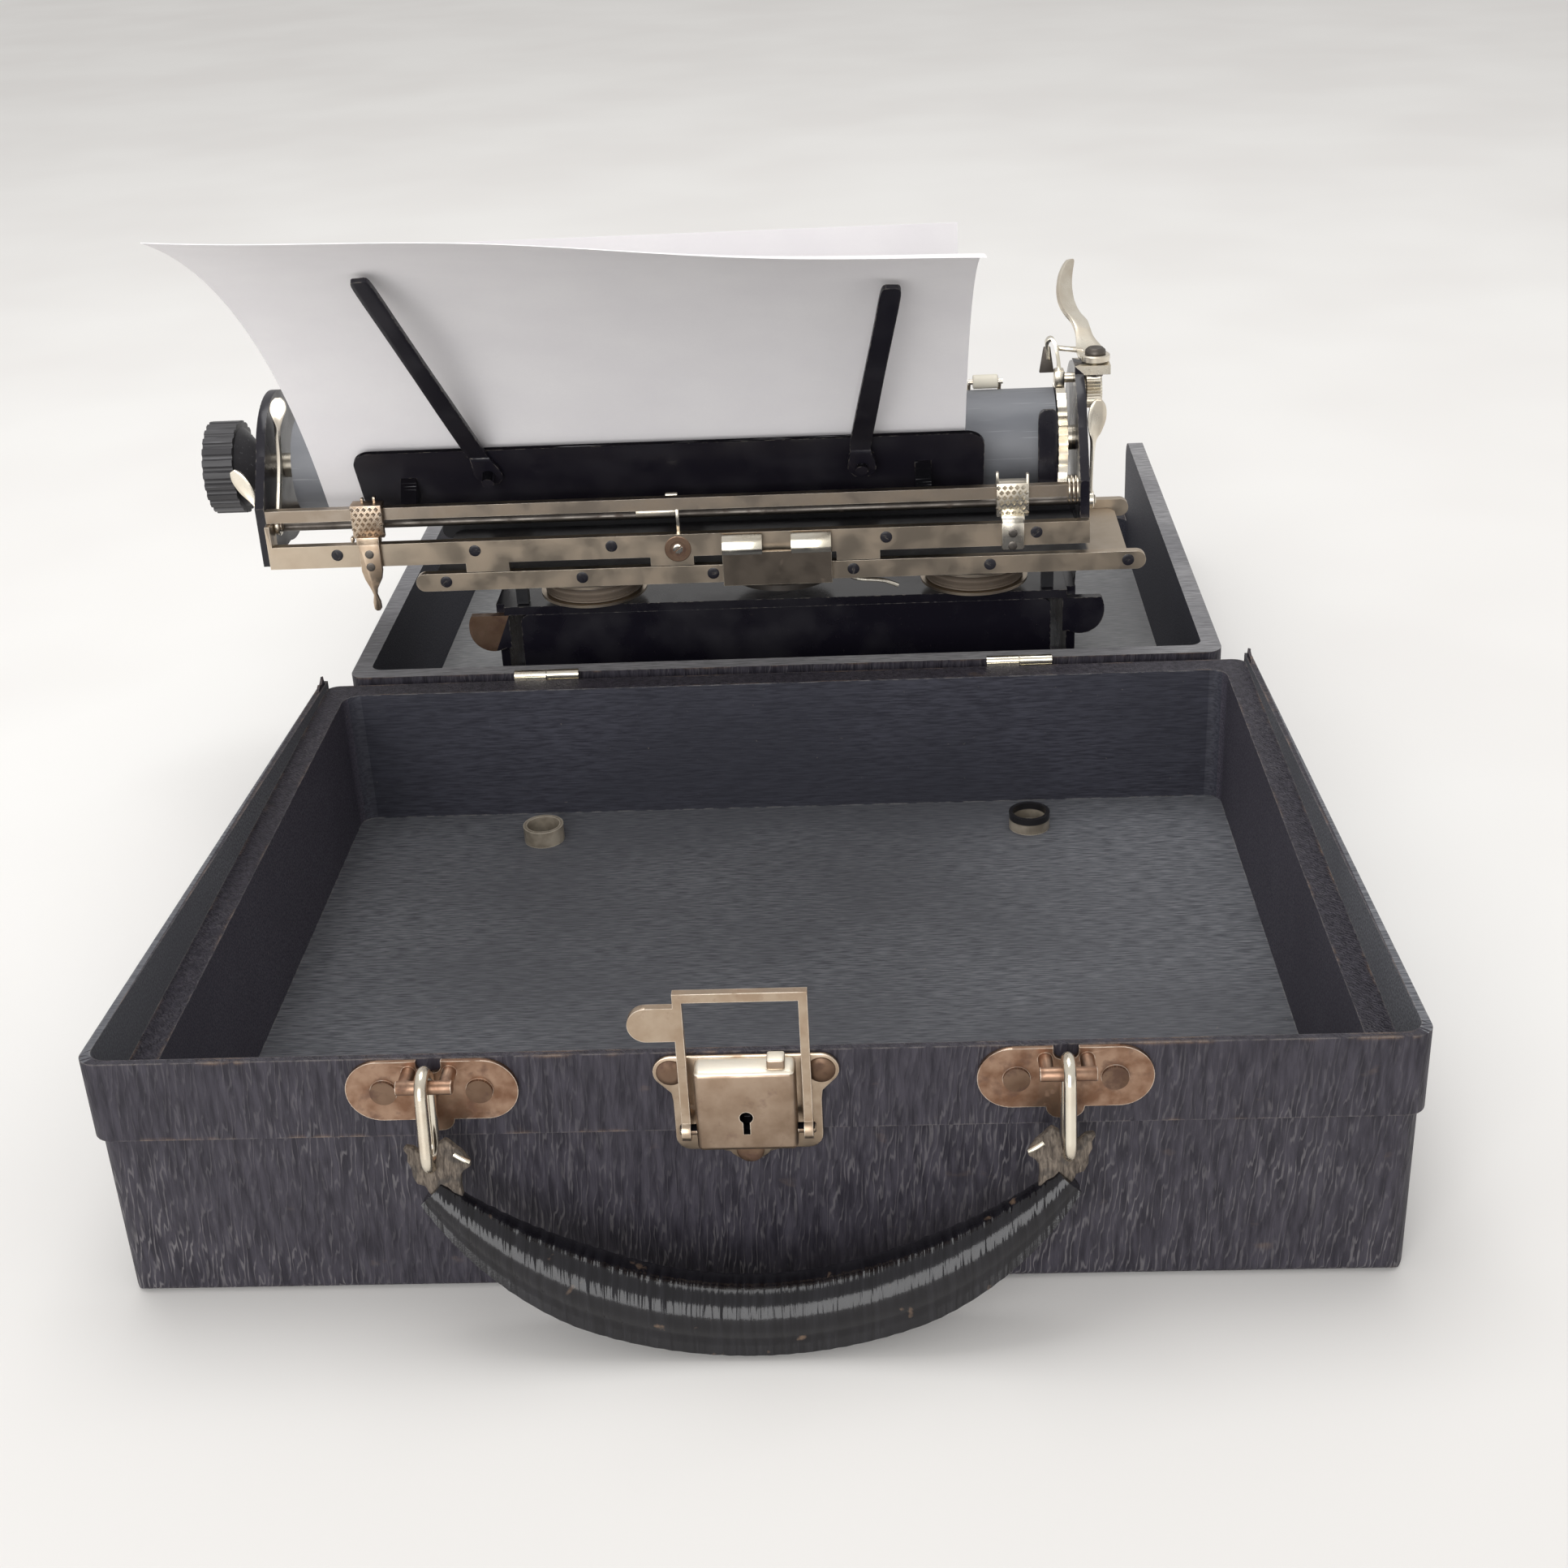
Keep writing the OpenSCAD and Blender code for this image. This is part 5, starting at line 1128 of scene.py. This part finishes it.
def make_bracket_lips():
    """Polished rolled lips at the top of the centre bracket."""
    roll = ((109.62, 88.6), (109.6, 90.3), (109.1, 92.3), (108.1, 93.7), (107, 94.4))
    lips = []
    for low, high in ((-17.5, -4.6), (4.6, 17.5)):
        middle, half = (low + high) / 2, (high - low) / 2
        lips.append(strap([(middle, y, z, half) for y, z in roll], 0.5, 2, 5))
    fit(join(lips), "bracket_lips", "fold", BRIGHT_NICKEL)
    hook = wire([
        (-21, 100, 78.8), (-23, 103, 77.2), (-28, 104.5, 76.8), (-33, 104.6, 76.6), (-36, 104.6, 75.6),
        (-38.6, 104.6, 74.4)], 1.5)
    fit(hook, "tape_hook", "fold", LEVER_NICKEL)


def make_spool_windings():
    """The ribbon wound on each spool."""
    for side, place in (("left", -1), ("right", 1)):
        profile = [(14.9, 0)]
        for turn in range(9):
            profile += [(16.3 + 0.25 * sin(turn * 2.1), 0.15 + 0.6 * turn),
                        (15.8 + 0.25 * cos(turn * 1.3), 0.42 + 0.6 * turn)]
        profile.append((14.9, 5.5))
        coil = turned((place * SPOOL[0], SPOOL[1], 65.55), ALONG_Z, profile, 40)
        fit(coil, "ribbon_" + side, "spool_" + side, RIBBON, 60)


def screw_shape():
    """A slotted screw head on the origin, for copying."""
    head = [(1.95, -0.4), (1.95, 0.35), (1.7, 0.75), (1.1, 0.95), (0.3, 1.0)]
    return cut(turned((0, 0, 0), ALONG_Z, head, 16), block((-3, -0.28, 0.45), (3, 0.28, 2), 0.02, 1))


SCREW = screw_shape()


def screws(name, body, places, direction, finish, size=1.0, height=1.0):
    """Screws at the places, facing the direction, as one piece."""
    scale = Matrix.Diagonal((size, size, height, 1))
    turn = Vector(ALONG_Z).rotation_difference(Vector(direction)).to_matrix().to_4x4()
    copies = []
    for number, place in enumerate(places):
        spin = Matrix.Rotation(0.7 + 1.9 * number, 4, "Z")
        copies.append(copy_at(SCREW, Matrix.Translation(Vector(place) * MM) @ turn @ spin @ scale))
    return fit(join(copies), name, body, finish)


def make_screws():
    rail = [(x, BAR_FACE, RAIL_SCREW_Z) for x in (-112.3, -68.2, -24.3, 21, 63.6, 108.1)]
    screws("rail_screws", "fold", rail, ALONG_Y, DULL_BLACK, 1.0, 0.25)
    bar = [(x, BAR_FACE, BAR_SCREW_Z) for x in (-83, -35.1, 53.3, 97.6, 142.5)]
    screws("bar_screws", "carriage", bar, ALONG_Y, DULL_BLACK, 1.0, 0.25)
    screws("wheel_screw", "carriage", [RAIL_WHEEL], ALONG_Y, LEVER_NICKEL, 0.85, 0.26)
    spots = ((70, 22), (70, 52), (20, 22), (-40, 20), (-88, 18))
    for side, out in (("left", -1), ("right", 1)):
        places = [(out * SIDE_PLATE_X, *spot) for spot in spots]
        screws("side_screws_" + side, "base", places, (out, 0, 0), DARK_STEEL)


def key_rim(place, radius):
    """A rolled rim round a key top, a little flattened."""
    bpy.ops.mesh.primitive_torus_add(location=[v * MM for v in place], major_radius=radius * MM,
                                     minor_radius=0.55 * MM, major_segments=28, minor_segments=8)
    edit_all()
    bpy.ops.transform.resize(value=(1, 1, RIM_FLATTEN))
    bpy.ops.object.mode_set(mode="OBJECT")
    return settle()


def make_key_trim():
    """Nickel rim, letter and link hook of each key."""
    for number, letter in enumerate(KEYS):
        x, y, top = key_place(number)
        angle = radians(LINK_FAN[0] + LINK_FAN[1] * number / (len(KEYS) - 1))
        heel = BASKET_Y + LINK_REACH * sin(angle)
        link = wire([(x, heel + back, z) for back, z in LINK_HOOK], 0.9, 1)
        rim = join([key_rim((x, y, top), 6.5), link])
        fit(rim, "key_rim_" + letter, "key_" + letter, LEVER_NICKEL)
        bpy.ops.object.text_add()
        sign = bpy.context.object
        sign.data.body = SIGNS.get(letter, letter.upper())
        sign.data.size = SIGN_SIZE * MM
        sign.data.align_x = "CENTER"
        sign.data.align_y = "CENTER"
        sign.data.extrude = 0.12 * MM
        sign.data.resolution_u = 3
        sign.location = (x * MM, y * MM, (top - 0.72) * MM)
        bpy.ops.object.convert(target="MESH")
        fit(settle(), "key_sign_" + letter, "key_" + letter, INK)
    x, y, top = SHIFT_KEY
    rims = [key_rim((side * x, y, top), 5.7) for side in (-1, 1)]
    fit(join(rims), "shift_rims", "shift", LEVER_NICKEL)


def make_floor():
    """A wide pale table, darkened behind the machine as painted shade."""
    bpy.ops.mesh.primitive_plane_add(size=6, location=(0, 0.1, -0.0003))
    floor = bpy.context.object
    floor.name = "floor"
    f = Finish("floor_paper", (0.84, 0.825, 0.8), 0.8)
    cloth = f.mix(f.span(f.noise(180, 2), 0.35, 0.65), (0.83, 0.815, 0.795), (0.87, 0.86, 0.84))
    # Painted shade: the table darkens from Y 0.1 m to 0.4 m, behind the machine.
    f.colour(f.mix(f.span(f.along("Y"), 0.1, 0.4), cloth, (0.74, 0.725, 0.705)))
    floor.data.materials.append(f.material)


def make_light():
    """A soft sky, paler above, and two large lamps."""
    world = bpy.data.worlds.new("studio")
    bpy.context.scene.world = world
    world.use_nodes = True
    tree = world.node_tree
    tree.nodes.clear()
    kinds = ("TexCoord", "SeparateXYZ", "MapRange", "Mix", "Background", "OutputWorld")
    way, split, height, tone, sky, end = [tree.nodes.new("ShaderNode" + kind) for kind in kinds]
    height.inputs["From Max"].default_value = 0.8
    tone.data_type = "RGBA"
    tone.inputs[6].default_value = (0.86, 0.84, 0.83, 1)
    tone.inputs[7].default_value = (1.0, 0.99, 0.98, 1)
    sky.inputs["Strength"].default_value = 0.7
    for source, socket in ((way.outputs["Generated"], split.inputs[0]),
                           (split.outputs["Z"], height.inputs["Value"]), (height.outputs[0], tone.inputs[0]),
                           (tone.outputs[2], sky.inputs["Color"]), (sky.outputs[0], end.inputs["Surface"])):
        tree.links.new(source, socket)
    for name, place, aim, size, power in (
            ("top_light", (0.1, -0.1, 1.5), (0, 0.12, 0.05), 0.95, 9.5),
            ("front_light", (0.35, 1.8, 0.55), (0, 0.1, 0.15), 1.2, 19)):
        bpy.ops.object.light_add(type="AREA", location=place)
        lamp = bpy.context.object
        lamp.name = name
        lamp.data.size = size
        lamp.data.energy = power
        lamp.rotation_euler = (Vector(aim) - Vector(place)).to_track_quat("-Z", "Y").to_euler()


def make_camera():
    """The photograph's view, its roll in degrees."""
    place, heading, roll, lens = (-0.03262, 0.7515, 0.33016), (0.0474, -0.8916, -0.4503), -2.972, 49.01
    forward = Vector(heading).normalized()
    side = forward.cross(Vector(ALONG_Z)).normalized()
    up = side.cross(forward)
    cosine, sine = cos(radians(roll)), sin(radians(roll))
    right = side * cosine + up * sine
    top = up * cosine - side * sine
    bpy.ops.object.camera_add()
    camera = bpy.context.object
    camera.name = "photo_camera"
    camera.data.lens = lens
    camera.data.sensor_width = 36
    camera.data.clip_start = 0.01
    turn = Matrix((right, top, -forward)).transposed().to_4x4()
    camera.matrix_world = Matrix.Translation(place) @ turn
    bpy.context.scene.camera = camera


make_camera()
make_floor()
make_light()
make_paper()
make_grip()
make_grip_ends()
make_lock()
make_line_lever()
make_line_pawl()
make_carriage_release()
make_paper_release()
make_paper_arms()
make_torn_cloth()
make_margin_stops()
make_carriage_fittings()
make_bracket_lips()
make_spool_windings()
make_screws()
make_key_trim()
bpy.data.objects.remove(SCREW)
bpy.context.scene.view_settings.view_transform = "Standard"
